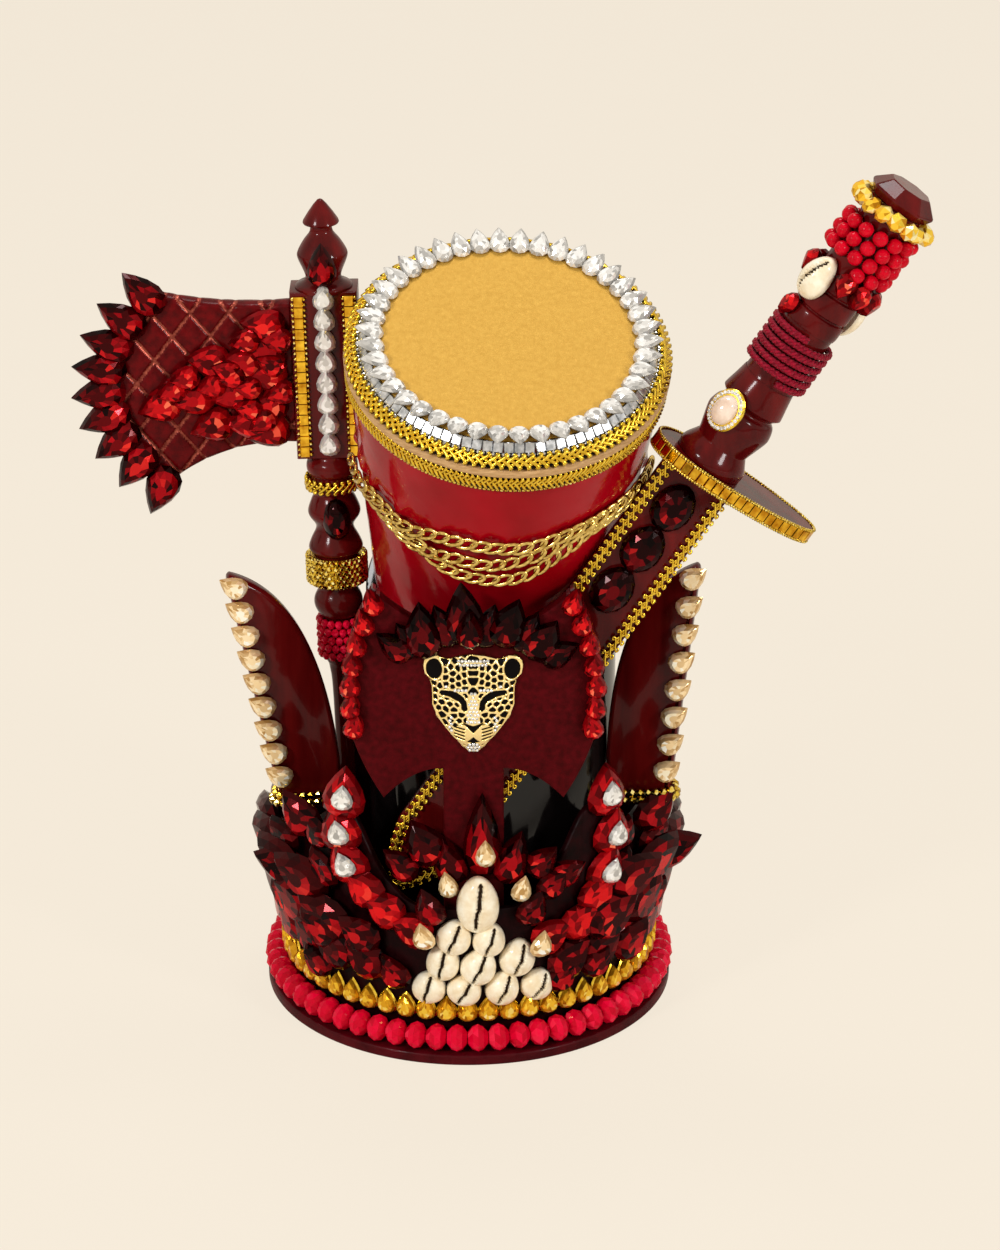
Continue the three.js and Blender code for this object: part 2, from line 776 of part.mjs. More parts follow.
// Brooch: a big cat's head with round ears, cheeks and a raised muzzle
const broochWidth = 46;
const broochHeight = 49;
const broochThickness = 3;
const broochDrop = 57; // its middle below the plate's corners
const broochMiddle = labrysTop - broochDrop;
const broochBevel = 0.75;
const muzzleSize = { across: 6.6, out: 2.4, up: 9.8, drop: 9.8 };
const broochShares = [
  [0, 0.43], [0.2, 0.44], [0.33, 0.5], [0.45, 0.49], [0.5, 0.41], [0.47, 0.29], [0.41, 0.2],
  [0.42, -0.02], [0.35, -0.2], [0.22, -0.36], [0.14, -0.47], [0, -0.5],
];
function makeBrooch() {
  const mirrored = broochShares.slice(1, -1).reverse().map(([x, y]) => [-x, y]);
  const outline = [...broochShares, ...mirrored];
  const points = outline.map(([x, y]) => new THREE.Vector2(x * broochWidth, y * broochHeight));
  const head = plate(new THREE.Shape(points), broochThickness, broochBevel);
  const muzzle = new THREE.SphereGeometry(1, 8, 4).scale(muzzleSize.across, muzzleSize.out, muzzleSize.up);
  const nose = moved(muzzle, 0, -broochThickness, -muzzleSize.drop);
  return mesh(
    "labrys_brooch",
    moved(fuse([head, nose]), labrysX, -(labrysFront + gap), broochMiddle),
    finishes.gold,
  );
}

// Wings: fins on the band's edge, each with pears along its outer edge and beads round its foot
function wingShape(side) {
  const shape = new THREE.Shape();
  shape.moveTo(0, 0);
  shape.lineTo(side * wingWidth, 0);
  shape.lineTo(side * (wingWidth + wingFlare), wingHeight);
  shape.quadraticCurveTo(side * wingBowX, wingBowHeight, 0, wingHeel);
  return shape;
}

const wingStone = { length: 15, width: 14, depth: 4.5, sides: 5 };
const wingBeadCount = 13;
function makeWing(word, side, stones, steeper) {
  const wing = new THREE.Group();
  wing.position.set(wingX + side * wingInner, -wingDepth, wingBase);
  wing.rotation.set(0, -side * steeper * deg, -side * wingTurn * deg, "ZYX");
  const body = moved(plate(wingShape(side), wingThickness, wingBevel), 0, wingThickness / 2, 0);
  const pears = Array.from({ length: stones }, (_, i) => {
    const height = wingStoneFirst + (i / (stones - 1)) * (wingStoneLast - wingStoneFirst);
    const x = side * (wingWidth + (wingFlare * height) / wingHeight - wingBevel);
    return onFront(stone(wingStone), x, wingThickness / 2 + gap, height, side * wingStoneRoll);
  });
  const radius = wingBeadDiameter / 2;
  const reach = wingThickness / 2 + radius + 2 * gap;
  const end = side * (wingWidth + (wingBeadDiameter * wingFlare) / wingHeight - wingThickness / 2);
  const path = new THREE.Path();
  path.moveTo(side * reach, -reach);
  path.lineTo(end, -reach);
  path.absarc(end, 0, reach, -90 * deg, 90 * deg, side < 0);
  path.lineTo((side * wingWidth) / 2, reach);
  const places = path.getSpacedPoints(2 * wingBeadCount);
  const route = (share) => {
    const step = Math.round(share * 2 * wingBeadCount);
    const ahead = places[Math.min(step + 1, 2 * wingBeadCount)];
    const behind = places[Math.max(step - 1, 0)];
    const along = new THREE.Vector3(ahead.x - behind.x, ahead.y - behind.y, 0).normalize();
    const across = new THREE.Vector3(0, 0, 1);
    const at = new THREE.Vector3(places[step].x, places[step].y, radius);
    return { at, across, out: along.cross(across) };
  };
  wing.add(
    mesh("wing_" + word, body, finishes.lacquer),
    mesh("wing_gems_" + word, fuse(pears), finishes.champagne),
    mesh("wing_beads_" + word, beadStrand(route, wingBeadCount, radius, 5, false), finishes.gold),
  );
  return wing;
}

// Axe: one turned and squared baluster, its blade to the left; heights are counted from the ball
const axeShaftShares = [
  [0, -1], [0.34, -1], [0.34, -0.25], [0.45, -0.17], [0.55, -0.147], [0.55, -0.04], [0.88, 0], [0.7, 0.04],
  [0.78, 0.052], [0.78, 0.132], [0.98, 0.14], [0.68, 0.2], [0.95, 0.235], [0.7, 0.285], [0.78, 0.3],
  [0.78, 0.34], [0.9, 0.352], [0.9, 0.38], [0.7, 0.392],
];
const finialShares = [
  [0.6, 0], [0.6, 0.1], [0.88, 0.28], [0.6, 0.5], [0.38, 0.6], [0.36, 0.68], [0.62, 0.76], [0, 1],
];
const finialPear = { length: 18, width: 14, depth: 5 };
const finialPearRise = 11.5;
const finialPearSeat = 7.1; // from the shaft's axis to the stone's back, inside the wood
const shaftOval = { length: 20, width: 14, depth: 5, tail: 0.3 };
const shaftOvalRise = 46;
const shaftOvalSeat = 7.8;
function makeAxeShaft() {
  const reach = axeBallHeight - bandFoot;
  const low = axeShaftShares.map(([r, h]) => [r * axeRadius, h * reach]);
  const bottom = blockBottom - axeBallHeight;
  const top = blockTop - axeBallHeight;
  const neck = axeShaftShares.at(-1)[0] * axeRadius;
  low.push([neck, bottom + overrun], [0, bottom + overrun]);
  const high = finialShares.map(([r, h]) => [r * axeRadius, top + h * finialHeight]);
  const block = new THREE.Shape();
  const half = blockWidth / 2;
  block.moveTo(-half, bottom);
  block.lineTo(half, bottom);
  block.lineTo(half, top);
  block.lineTo(-half, top);
  const solid = fuse([
    turned(low, 10),
    moved(plate(block, blockDepth, blockBevel), 0, blockDepth / 2, 0),
    turned([[0, top - overrun], [high[0][0], top - overrun], ...high], 10),
    onFront(stone(finialPear), 0, finialPearSeat, top + finialPearRise, 0),
    onFront(stone(shaftOval), 0, shaftOvalSeat, shaftOvalRise, 0),
  ]);
  return mesh("axe_shaft", solid, finishes.lacquer);
}

function shaftRing(name, profile, segments, material) {
  return mesh(name, turnedRing(profile, segments), material);
}

// The cutting edge: its upper end, the handle of its curve and its lower end, out and up from the middle
const axeEdgeShares = [[-0.77, 0.43], [-1.24, -0.07], [-0.74, -0.57]];
const axeBladeMiddle = (blockTop + blockBottom) / 2 - axeBallHeight;
function axeBladeEdge() {
  const [upper, handle, lower] = axeEdgeShares.map(
    ([out, up]) => new THREE.Vector2(out * axeBladeReach, axeBladeMiddle + up * axeBladeSpan),
  );
  return new THREE.QuadraticBezierCurve(upper, handle, lower);
}

function makeAxeBlade() {
  const root = -(blockWidth / 2 + gap);
  const half = axeBladeRoot / 2;
  const waist = half - axeBladeHollow;
  const bend = -axeBladeReach / 2;
  const edge = axeBladeEdge();
  const shape = new THREE.Shape();
  shape.moveTo(root, axeBladeMiddle + half);
  shape.quadraticCurveTo(bend, axeBladeMiddle + waist, edge.v0.x, edge.v0.y);
  shape.quadraticCurveTo(edge.v1.x, edge.v1.y, edge.v2.x, edge.v2.y);
  shape.quadraticCurveTo(bend, axeBladeMiddle - waist, root, axeBladeMiddle - half);
  const made = plate(shape, axeBladeThickness, axeBladeBevel, 8);
  return mesh("axe_blade", moved(made, 0, axeBladeThickness / 2, 0), finishes.satin);
}

const axeEdgeStone = { length: 24, width: 17, depth: 6, sides: 5, tail: 0.1 };
const axeEdgeFirstRoll = -40;
const axeEdgeLastRoll = -155;
function makeAxeEdgeStones() {
  const edge = axeBladeEdge();
  const stones = Array.from({ length: axeEdgeCount }, (_, i) => {
    const share = i / (axeEdgeCount - 1);
    const { x, y } = edge.getPoint(share);
    const roll = axeEdgeFirstRoll + share * (axeEdgeLastRoll - axeEdgeFirstRoll);
    return onFront(stone(axeEdgeStone), x, axeBladeThickness / 2 + gap, y, roll);
  });
  return mesh("axe_edge_gems", fuse(stones), finishes.garnet);
}

const axeFaceStone = { length: 21, width: 16.5, depth: 5.5, sides: 5, tail: 0.15 };
const axeFaceShares = [
  [-0.53, 0.22, -80], [-0.38, 0.19, -85], [-0.28, 0.38, -70], [-0.28, 0.7, -80],
  [-0.76, -0.4, -108], [-0.61, -0.31, -104], [-0.44, -0.25, -104], [-0.28, 0, -92],
  [-0.53, -0.7, -110], [-0.37, -0.66, -92], [-0.28, -0.42, -105], [-0.28, -0.8, -108],
];
function makeAxeFaceStones() {
  const stones = axeFaceShares.map(([x, up, roll]) =>
    onFront(
      stone(axeFaceStone),
      x * axeBladeReach,
      axeBladeThickness / 2 + gap,
      axeBladeMiddle + (up * axeBladeRoot) / 2,
      roll,
    ),
  );
  return mesh("axe_face_gems", fuse(stones), finishes.ruby);
}

const columnStone = { width: 9.5, depth: 4, sides: 5 };
const columnLap = 1.8;
function makeAxeColumn() {
  const pitch = blockHeight / axeColumnCount;
  const pear = stone({ ...columnStone, length: pitch + columnLap });
  const low = blockBottom - axeBallHeight + pitch / 2;
  const stones = Array.from({ length: axeColumnCount }, (_, i) =>
    onFront(pear, 0, blockDepth / 2 + gap, low + i * pitch, 0),
  );
  return mesh("axe_clear_gems", fuse(stones), finishes.clear);
}

// Rings on the axe's shaft: how far out from the wood, and heights as shares of the shaft's reach
const trimShares = [[0, 0.302], [3, 0.306], [3, 0.332], [0, 0.337]];
const goldBandShares = [[0, 0.056], [4, 0.058], [6, 0.075], [6, 0.112], [4, 0.13], [0, 0.131]];
const axeWrapLowShare = -0.145;
const axeWrapHighShare = -0.043;
const axeWrapHollow = 1.8;
const axeWrapBelly = 3.6;
const axeWrapRows = 10;
const ringSeatShare = 0.78; // wood under the trim and the gold band, as a share of the shaft's radius
const wrapSeatShare = 0.55;
function makeAxe() {
  const axe = new THREE.Group();
  axe.position.set(axeX, 0, axeBallHeight);
  axe.rotation.y = -axeLean * deg;
  const reach = axeBallHeight - bandFoot;
  const seat = ringSeatShare * axeRadius + gap;
  const inner = wrapSeatShare * axeRadius + gap;
  const step = (axeWrapHighShare - axeWrapLowShare) / axeWrapRows;
  const wrap = Array.from({ length: axeWrapRows + 1 }, (_, i) => [
    i % 2 ? axeWrapBelly : axeWrapHollow,
    axeWrapLowShare + i * step,
  ]);
  const around = (profile, radius) => profile.map(([out, share]) => [radius + out, share * reach]);
  const wrapped = [[0, axeWrapLowShare], ...wrap, [0, axeWrapHighShare]];
  axe.add(
    makeAxeShaft(),
    makeAxeBlade(),
    makeAxeEdgeStones(),
    makeAxeFaceStones(),
    makeAxeColumn(),
    shaftRing("axe_gold_trim", around(trimShares, seat), 16, finishes.gold),
    shaftRing("axe_gold_band", around(goldBandShares, seat), 16, finishes.gold),
    shaftRing("axe_bead_wrap", around(wrapped, inner), 12, finishes.coral),
  );
  return axe;
}

// Sword, in its own frame: z runs from the guard plate towards the pommel
const pointHandleShare = 0.7;
function bladeOutline(half, length, point) {
  const low = -(guardThickness / 2 + gap);
  const handle = half * pointHandleShare;
  const shape = new THREE.Shape();
  shape.moveTo(-half, low);
  shape.lineTo(-half, -(length - point));
  shape.quadraticCurveTo(-handle, -(length - point / 3), 0, -length);
  shape.quadraticCurveTo(handle, -(length - point / 3), half, -(length - point));
  shape.lineTo(half, low);
  return shape;
}

function makeSwordBlade() {
  const outline = bladeOutline(bladeWidth / 2, bladeLength, bladePoint);
  const made = plate(outline, bladeThickness, bladeEdgeBevel);
  return mesh("sword_blade", moved(made, 0, bladeThickness / 2, 0), finishes.lacquer);
}

function makeBladeBraid() {
  const reach = bladeWidth / 2 + braidOverhang;
  const outer = plate(bladeOutline(reach, bladeLength + braidOverhang, bladePoint), braidThickness, 0);
  const half = bladeWidth / 2 - bladeBraidWidth;
  const inside = bladeLength - Math.SQRT2 * bladeBraidWidth;
  const inner = plate(bladeOutline(half, inside, bladePoint), 3 * braidThickness, 0);
  const window = moved(inner, 0, braidThickness, 0);
  const top = moved(inner, 0, braidThickness, bladePoint);
  const front = -(bladeThickness / 2 + gap);
  return mesh("sword_braid", moved(cut(outer, [window, top]), 0, front, 0), finishes.gold);
}

const bladeStoneStart = 22.6; // from the guard to the middle of the first stone
function makeBladeStones() {
  const width = bladeWidth - 2 * (bladeBraidWidth + bladeStoneMargin);
  const length = bladeStoneSpacing + 4 * gap;
  const oval = stone({ length, width, depth: bladeStoneDepth, tail: 0.3, tip: 0.3 });
  const stones = Array.from({ length: bladeStoneCount }, (_, i) =>
    onFront(oval, -bladeStoneShift, bladeThickness / 2 + gap, -(bladeStoneStart + i * bladeStoneSpacing), 0),
  );
  return mesh("sword_blade_gems", fuse(stones), finishes.garnet);
}

function guardOutline(extra) {
  const shape = new THREE.Shape();
  const half = guardDepth / 2 + extra;
  shape.absellipse(0, 0, guardReach + extra, half, -90 * deg, 90 * deg);
  shape.absellipse(0, 0, guardStub + extra, half, 90 * deg, 270 * deg);
  return shape;
}

function makeGuard() {
  const settings = { depth: guardThickness, bevelEnabled: false, curveSegments: 8 };
  const made = new THREE.ExtrudeGeometry(guardOutline(0), settings);
  return mesh("sword_guard", moved(made, 0, 0, -guardThickness / 2), finishes.lacquer);
}

function makeGuardTape() {
  const settings = { depth: guardThickness - 2 * gap, bevelEnabled: false, curveSegments: 8 };
  const outline = guardOutline(gap + guardTapeThickness);
  outline.holes.push(guardOutline(gap));
  const made = new THREE.ExtrudeGeometry(outline, settings);
  return mesh("sword_guard_tape", moved(made, 0, 0, gap - guardThickness / 2), finishes.amberMirror);
}

const gripShares = [
  [1, 0], [1, 0.03], [0.79, 0.072], [0.9, 0.12], [0.97, 0.16], [0.9, 0.2], [0.76, 0.215], [0.92, 0.235],
  [0.78, 0.33], [0.76, 0.345], [0.76, 0.53], [0.8, 0.545], [0.8, 0.59], [0.72, 0.6], [0.8, 0.61],
  [0.8, 0.67], [0.72, 0.68], [0.78, 0.69], [0.74, 0.75], [0.74, 0.93], [0.8, 0.94], [0.8, 1],
];
function makeGrip() {
  const low = guardThickness / 2 + gap;
  const side = gripShares.map(([r, h]) => [r * gripRadius, low + h * (gripLength - low)]);
  return mesh("sword_grip", turned([[0, low], ...side, [0, gripLength]], 14), finishes.lacquer);
}

const pommelBottom = 14.2;
const pommelBelly = 16.2;
const pommelTop = 10.2;
const pommelWaistHeight = 3.5;
function makePommel() {
  const capHeight = pommelLength - pommelWaistHeight;
  const waist = new THREE.CylinderGeometry(pommelBelly, pommelBottom, pommelWaistHeight, 8);
  const cap = new THREE.CylinderGeometry(pommelTop, pommelBelly, capHeight, 8);
  const stacked = fuse([
    moved(waist.rotateX(90 * deg), 0, 0, pommelWaistHeight / 2),
    moved(cap.rotateX(90 * deg), 0, 0, pommelWaistHeight + capHeight / 2),
  ]);
  return mesh("sword_pommel", moved(stacked, 0, 0, gripLength + gap), finishes.lacquer);
}

// A tube wound round the grip; its least distance to itself is measured on its points
function winding(name, { turns, steps, pitch, radius, start, sectionOf, sides }) {
  const stations = [];
  for (let i = 0; i <= turns * steps; i++) {
    const turn = (i / steps) * 2 * Math.PI;
    const out = new THREE.Vector3(Math.sin(turn), -Math.cos(turn), 0);
    const at = out.clone().multiplyScalar(radius).setZ(start + (i / steps) * pitch);
    stations.push({ at, across: new THREE.Vector3(0, 0, 1), out, half: sectionOf(i) });
  }
  let least = Infinity;
  for (let i = 0; i < stations.length; i++) {
    for (let j = i + Math.floor(steps / 2); j < stations.length; j++) {
      const apart = stations[i].at.distanceTo(stations[j].at);
      least = Math.min(least, apart - stations[i].half[0] - stations[j].half[0]);
    }
  }
  console.log(name + ": least gap to itself " + least.toFixed(2) + " mm");
  return sweep(stations, sides, false);
}

const ropeSeatShare = 0.78; // wood under each wrap, as a share of the grip's radius
const ropeStartShare = 0.367; // and its place, as a share of the grip's length
const beadSeatShare = 0.74;
const beadStartShare = 0.782;
const beadWaistShare = 0.55;
function makeRope() {
  const half = ropeDiameter / 2;
  const made = winding("sword_rope_wrap", {
    turns: ropeTurnCount,
    steps: 24,
    pitch: ropePitch,
    radius: ropeSeatShare * gripRadius + gap + half,
    start: ropeStartShare * gripLength,
    sectionOf: () => [half, half],
    sides: 6,
  });
  return mesh("sword_rope_wrap", made, finishes.rope);
}

function makeWrapBeads() {
  const belly = wrapBeadDiameter / 2;
  const waist = belly * beadWaistShare;
  const made = winding("sword_bead_wrap", {
    turns: wrapTurnCount,
    steps: 2 * wrapBeadCount,
    pitch: wrapBeadPitch,
    radius: beadSeatShare * gripRadius + gap + belly,
    start: beadStartShare * gripLength,
    sectionOf: (i) => (i % 2 ? [belly, belly] : [waist, waist]),
    sides: 4,
  });
  return mesh("sword_bead_wrap", made, finishes.coral);
}

const upperGripShare = 0.8; // wood under the chips, the drops and the cowrie
const chipCount = 13;
const chipDiameter = 7;
function makeAmberChips() {
  const radius = upperGripShare * gripRadius + gap + chipDiameter / 2;
  const route = (share) => {
    const out = heading(share * 360);
    const at = out.clone().multiplyScalar(radius).setZ(gripLength - chipDiameter / 2);
    return { at, across: new THREE.Vector3(0, 0, 1), out };
  };
  return mesh("sword_amber_ring", beadStrand(route, chipCount, chipDiameter / 2, 5, true), finishes.amber);
}

// Puts a piece on the grip, at a turn from the front and a share of its length
function onGrip(geometry, { turn, share, seatShare, roll }) {
  const out = heading(turn);
  const at = out.clone().multiplyScalar(seatShare * gripRadius + gap).setZ(share * gripLength);
  return seated(geometry, at, out, roll);
}

const dropCount = 6;
const dropFirstTurn = 12;
const dropTurnStep = 45;
const dropStone = { length: 12, width: 13.5, depth: 5, sides: 5 };
function makeRubyDrops() {
  const drop = stone(dropStone);
  const stones = Array.from({ length: dropCount }, (_, i) => {
    const turn = dropFirstTurn + i * dropTurnStep;
    return onGrip(drop, { turn, share: 0.7, seatShare: upperGripShare, roll: 180 });
  });
  return mesh("sword_ruby_drops", fuse(stones), finishes.ruby);
}

const gripCowrie = { length: 21, width: 14, depth: 8 };
const gripCowriePlace = { turn: -56, share: 0.66, seatShare: upperGripShare, roll: 8 };
function makeSwordCowrie() {
  return mesh("sword_cowrie", onGrip(cowrie(gripCowrie), gripCowriePlace), finishes.shell);
}

const settingSize = { across: 17, up: 21, out: 2.4 };
const pearlSize = { across: 10.8, up: 14.4, out: 8, seat: 2.2 };
const pearlPlace = { turn: -38, share: 0.162, seatShare: 1.02, roll: 5 };
function makePearl() {
  const setting = new THREE.CylinderGeometry(1, 1, 1, 16).rotateX(90 * deg);
  setting.scale(settingSize.across / 2, settingSize.up / 2, settingSize.out);
  const pearl = new THREE.SphereGeometry(1, 8, 5);
  pearl.scale(pearlSize.across / 2, pearlSize.up / 2, pearlSize.out / 2);
  const brooch = fuse([moved(setting, 0, 0, settingSize.out / 2), moved(pearl, 0, 0, pearlSize.seat)]);
  return mesh("sword_pearl_brooch", onGrip(brooch, pearlPlace), finishes.pearl);
}

function makeSword() {
  const sword = new THREE.Group();
  sword.position.set(swordX, -swordDepth, swordHeight);
  sword.rotation.y = swordLean * deg;
  sword.add(
    makeSwordBlade(),
    makeBladeBraid(),
    makeBladeStones(),
    makeGuard(),
    makeGuardTape(),
    makeGrip(),
    makePommel(),
    makeRope(),
    makeWrapBeads(),
    makeAmberChips(),
    makeRubyDrops(),
    makeSwordCowrie(),
    makePearl(),
  );
  return sword;
}

// The whole crown
const crown = new THREE.Group();
crown.add(makeBoard(), makeBand(), makeCoralRing(), makeAmberRing(), makeCore());
crown.add(makeGarnets("garnets_left", -1), makeGarnets("garnets_right", 1));
crown.add(makeSwag("ruby_swag_left", -1), makeSwag("ruby_swag_right", 1), makeFan(), ...makeCowries());
crown.add(makeLabrys(), makeBrooch(), makeCrest());
crown.add(makeLabrysStones("labrys_gems_left", -1), makeLabrysStones("labrys_gems_right", 1));
crown.add(makeWing("left", -1, 9, 0), makeWing("right", 1, 8, 5));
crown.add(makeDrum(), makeAxe(), makeSword());

export default crown;
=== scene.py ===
# %% [markdown]
# This lesson dresses an altar crown: a jewelled round base that carries a drum, an axe, a sword,
# a double-axe plate and two wings. The solid model gives every place and size, so the first cell
# loads it as a fixed frame.
# %% Load the frame
import bmesh
import bpy
import numpy as np
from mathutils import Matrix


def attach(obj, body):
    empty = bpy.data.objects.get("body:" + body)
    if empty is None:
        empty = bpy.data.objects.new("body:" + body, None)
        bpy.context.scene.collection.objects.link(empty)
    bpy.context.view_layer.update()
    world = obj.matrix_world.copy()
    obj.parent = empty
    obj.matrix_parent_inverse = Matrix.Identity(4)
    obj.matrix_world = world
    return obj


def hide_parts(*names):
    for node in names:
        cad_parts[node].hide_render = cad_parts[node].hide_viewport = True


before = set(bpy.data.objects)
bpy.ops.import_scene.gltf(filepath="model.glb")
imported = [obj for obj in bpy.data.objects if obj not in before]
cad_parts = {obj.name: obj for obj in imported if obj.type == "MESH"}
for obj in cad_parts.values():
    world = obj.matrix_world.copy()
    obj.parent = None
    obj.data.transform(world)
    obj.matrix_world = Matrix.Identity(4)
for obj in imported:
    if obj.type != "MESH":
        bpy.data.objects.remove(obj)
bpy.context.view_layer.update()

MM = 0.001
print("nodes loaded:", len(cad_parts))

# %% [markdown]
# The camera comes first. It looks down at the crown by 23 degrees with a long lens, which is
# where the photographer stood, so every later render can be laid over the photograph.
# %% Camera
lens = bpy.data.cameras.new("camera")
lens.sensor_fit = "VERTICAL"
lens.sensor_height = 36
lens.lens = 117.56
camera = bpy.data.objects.new("camera", lens)
camera.location = (0.0152, -1.7767, 0.9428)
camera.rotation_euler = (np.radians(66.85), 0, 0)
bpy.context.scene.collection.objects.link(camera)
bpy.context.scene.camera = camera
print("camera at", tuple(round(c, 3) for c in camera.location))
# %% [markdown]
# A finish is a small node tree. The helper below lets one noise vary the colour, a second the
# roughness and a third the surface, each at its own grain size in millimetres. Real lacquer, gilt
# and leather are never even, and this unevenness is what the eye reads as material. Painted maps
# could do it too, but a noise needs no file and fits any shape.
# %% Finishes: the helpers
def set_inputs(made, inputs):
    """Set a node's inputs by name; an underscore stands for a space."""
    for name, value in inputs.items():
        made.inputs[name.replace("_", " ")].default_value = value


def node(tree, kind, **inputs):
    """Add a node of a kind and set its inputs."""
    made = tree.nodes.new("ShaderNode" + kind)
    set_inputs(made, inputs)
    return made


def noise_of(tree, grain, detail=3.0, stretch=(1, 1, 1)):
    """Noise on object coordinates whose lumps are about grain millimetres wide."""
    place = node(tree, "TexCoord")
    mapping = node(tree, "Mapping", Scale=stretch)
    tree.links.new(place.outputs["Object"], mapping.inputs["Vector"])
    noise = node(tree, "TexNoise", Scale=1 / (grain * MM), Detail=detail)
    tree.links.new(mapping.outputs["Vector"], noise.inputs["Vector"])
    return noise.outputs["Fac"]


def ramp_of(tree, source, stops):
    """Colours along a value from 0 to 1; stops lists pairs of place and colour."""
    ramp = node(tree, "ValToRGB")
    while len(ramp.color_ramp.elements) < len(stops):
        ramp.color_ramp.elements.new(1)
    for element, (place, colour) in zip(ramp.color_ramp.elements, stops):
        element.position, element.color = place, (*colour, 1)
    tree.links.new(source, ramp.inputs["Fac"])
    return ramp.outputs["Color"]


def attribute_of(tree, name):
    """The value that a mesh carries under a name."""
    made = node(tree, "Attribute")
    made.attribute_name = name
    return made.outputs["Fac"]


def bump_of(tree, source, depth, strength=1.0):
    """A surface normal from a height between 0 and 1, depth millimetres deep."""
    made = node(tree, "Bump", Strength=strength, Distance=depth * MM)
    tree.links.new(source, made.inputs["Height"])
    return made.outputs["Normal"]


def blank_finish(name, **inputs):
    """A material with the standard shader, whose inputs are set by name."""
    material = bpy.data.materials.new(name)
    material.use_nodes = True
    shader = material.node_tree.nodes["Principled BSDF"]
    set_inputs(shader, inputs)
    return material, material.node_tree, shader


def finish(name, dark, light, grain=8, rough=(0.3, 0.45), metal=0, coat=0, bump=0, bump_grain=1,
           stretch=(1, 1, 1), detail=3.0, sheen=0, gloss=0.2):
    """Two tones mixed by noise, an uneven roughness and a fine bump."""
    material, tree, shader = blank_finish(name, Metallic=metal, Coat_Weight=coat, Coat_Roughness=0.06,
                                          Specular_IOR_Level=gloss, Sheen_Weight=sheen)
    colour = ramp_of(tree, noise_of(tree, grain, detail, stretch), [(0.32, dark), (0.68, light)])
    tree.links.new(colour, shader.inputs["Base Color"])
    spread = node(tree, "MapRange", From_Min=0.3, From_Max=0.7, To_Min=rough[0], To_Max=rough[1])
    tree.links.new(noise_of(tree, grain / 2, detail, stretch), spread.inputs["Value"])
    tree.links.new(spread.outputs["Result"], shader.inputs["Roughness"])
    if bump:
        tree.links.new(bump_of(tree, noise_of(tree, bump_grain, detail, stretch), bump), shader.inputs["Normal"])
    return material


# %% [markdown]
# Glued rhinestones are glass over foil: seen from outside, each facet is a small mirror that is
# either dark or bright. These reflections and glints are painted into the colour: each face
# carries its own value, and a ramp turns it into the dark, the body, the bright tone and the glint
# of the stone. The clear coat gives the polished top. Clear glass with a mirror behind it would
# need many bounces of light and still look dull when small, so the facets' reflections are painted
# as the eye sees them.
# %% Finishes: foil-backed stones
FACET_LIGHT_STOPS = (0.0, 0.36, 0.72, 1.0)


def stone_finish(name, dark, body, bright, glint, metal=0.4, coat=0.05):
    """Painted reflections: a ramp over the facets' values through four colours, up to a glint, under a clear coat."""
    material, tree, shader = blank_finish(name, Metallic=metal, Roughness=0.09, Specular_IOR_Level=0.06,
                                          Coat_Weight=coat, Coat_Roughness=0.02)
    colour = ramp_of(tree, attribute_of(tree, "facet"), list(zip(FACET_LIGHT_STOPS, (dark, body, bright, glint))))
    tree.links.new(colour, shader.inputs["Base Color"])
    return material


garnet = stone_finish("garnet", (0.002, 0.0001, 0.0004), (0.06, 0.0004, 0.0014), (0.44, 0.003, 0.008),
                      (0.9, 0.04, 0.025))
deep_garnet = stone_finish("deep_garnet", (0.001, 0.0001, 0.0002), (0.015, 0.0002, 0.0006), (0.12, 0.001, 0.003),
                           (0.55, 0.012, 0.012))
ruby = stone_finish("ruby", (0.05, 0.0004, 0.0012), (0.33, 0.0015, 0.005), (0.8, 0.01, 0.012), (1.0, 0.2, 0.1))
amber = stone_finish("amber", (0.36, 0.13, 0.003), (0.88, 0.46, 0.02), (1.0, 0.7, 0.07), (1.0, 0.92, 0.5), 0.5)
champagne = stone_finish("champagne", (0.46, 0.25, 0.07), (0.98, 0.74, 0.41), (1.0, 0.95, 0.74),
                         (1.0, 1.0, 0.95), 0.28, 0.15)
clear = stone_finish("clear", (0.36, 0.35, 0.33), (0.82, 0.8, 0.76), (1.0, 1.0, 0.98), (1.0, 1.0, 1.0), 0.4, 0.15)
coral = stone_finish("coral", (0.56, 0.001, 0.018), (0.74, 0.002, 0.03), (0.86, 0.005, 0.045),
                     (0.95, 0.03, 0.08), 0)
gilt_facets = stone_finish("gilt_facets", (0.2, 0.1, 0.006), (0.62, 0.4, 0.035), (0.86, 0.64, 0.1),
                           (1.0, 0.88, 0.36), 1)
print("materials with the stones:", len(bpy.data.materials))

# %% [markdown]
# The wooden parts are lacquered in dark reds and browns, and the axe's and plate's faces are
# covered in satin. Colours are given as light, not as screen values, so a deep red looks almost
# black in numbers. A gloss well under the usual 0.5 keeps the dark lacquers from turning grey. One
# helper makes them all, so they differ only in their numbers.
# %% Finishes: lacquer and satin
board_lacquer = finish("board_lacquer", (0.045, 0.0012, 0.003), (0.09, 0.0025, 0.006), 12, (0.22, 0.4), coat=0.08,
                       bump=0.05, bump_grain=2, gloss=0.06)
band_black = finish("band_black", (0.004, 0.0004, 0.0006), (0.014, 0.0008, 0.0014), 6, (0.3, 0.5), bump=0.05,
                    bump_grain=1.5, gloss=0.05)
brown_lacquer = finish("brown_lacquer", (0.055, 0.0012, 0.0016), (0.13, 0.004, 0.004), 9, (0.12, 0.24), coat=0.18,
                       bump=0.04, bump_grain=1.2, stretch=(1, 1, 0.12), detail=5, gloss=0.07)
drum_red = finish("drum_red", (0.27, 0.0006, 0.004), (0.37, 0.001, 0.008), 30, (0.07, 0.16), coat=0.15, bump=0.35,
                  bump_grain=12, detail=2, gloss=0.05)
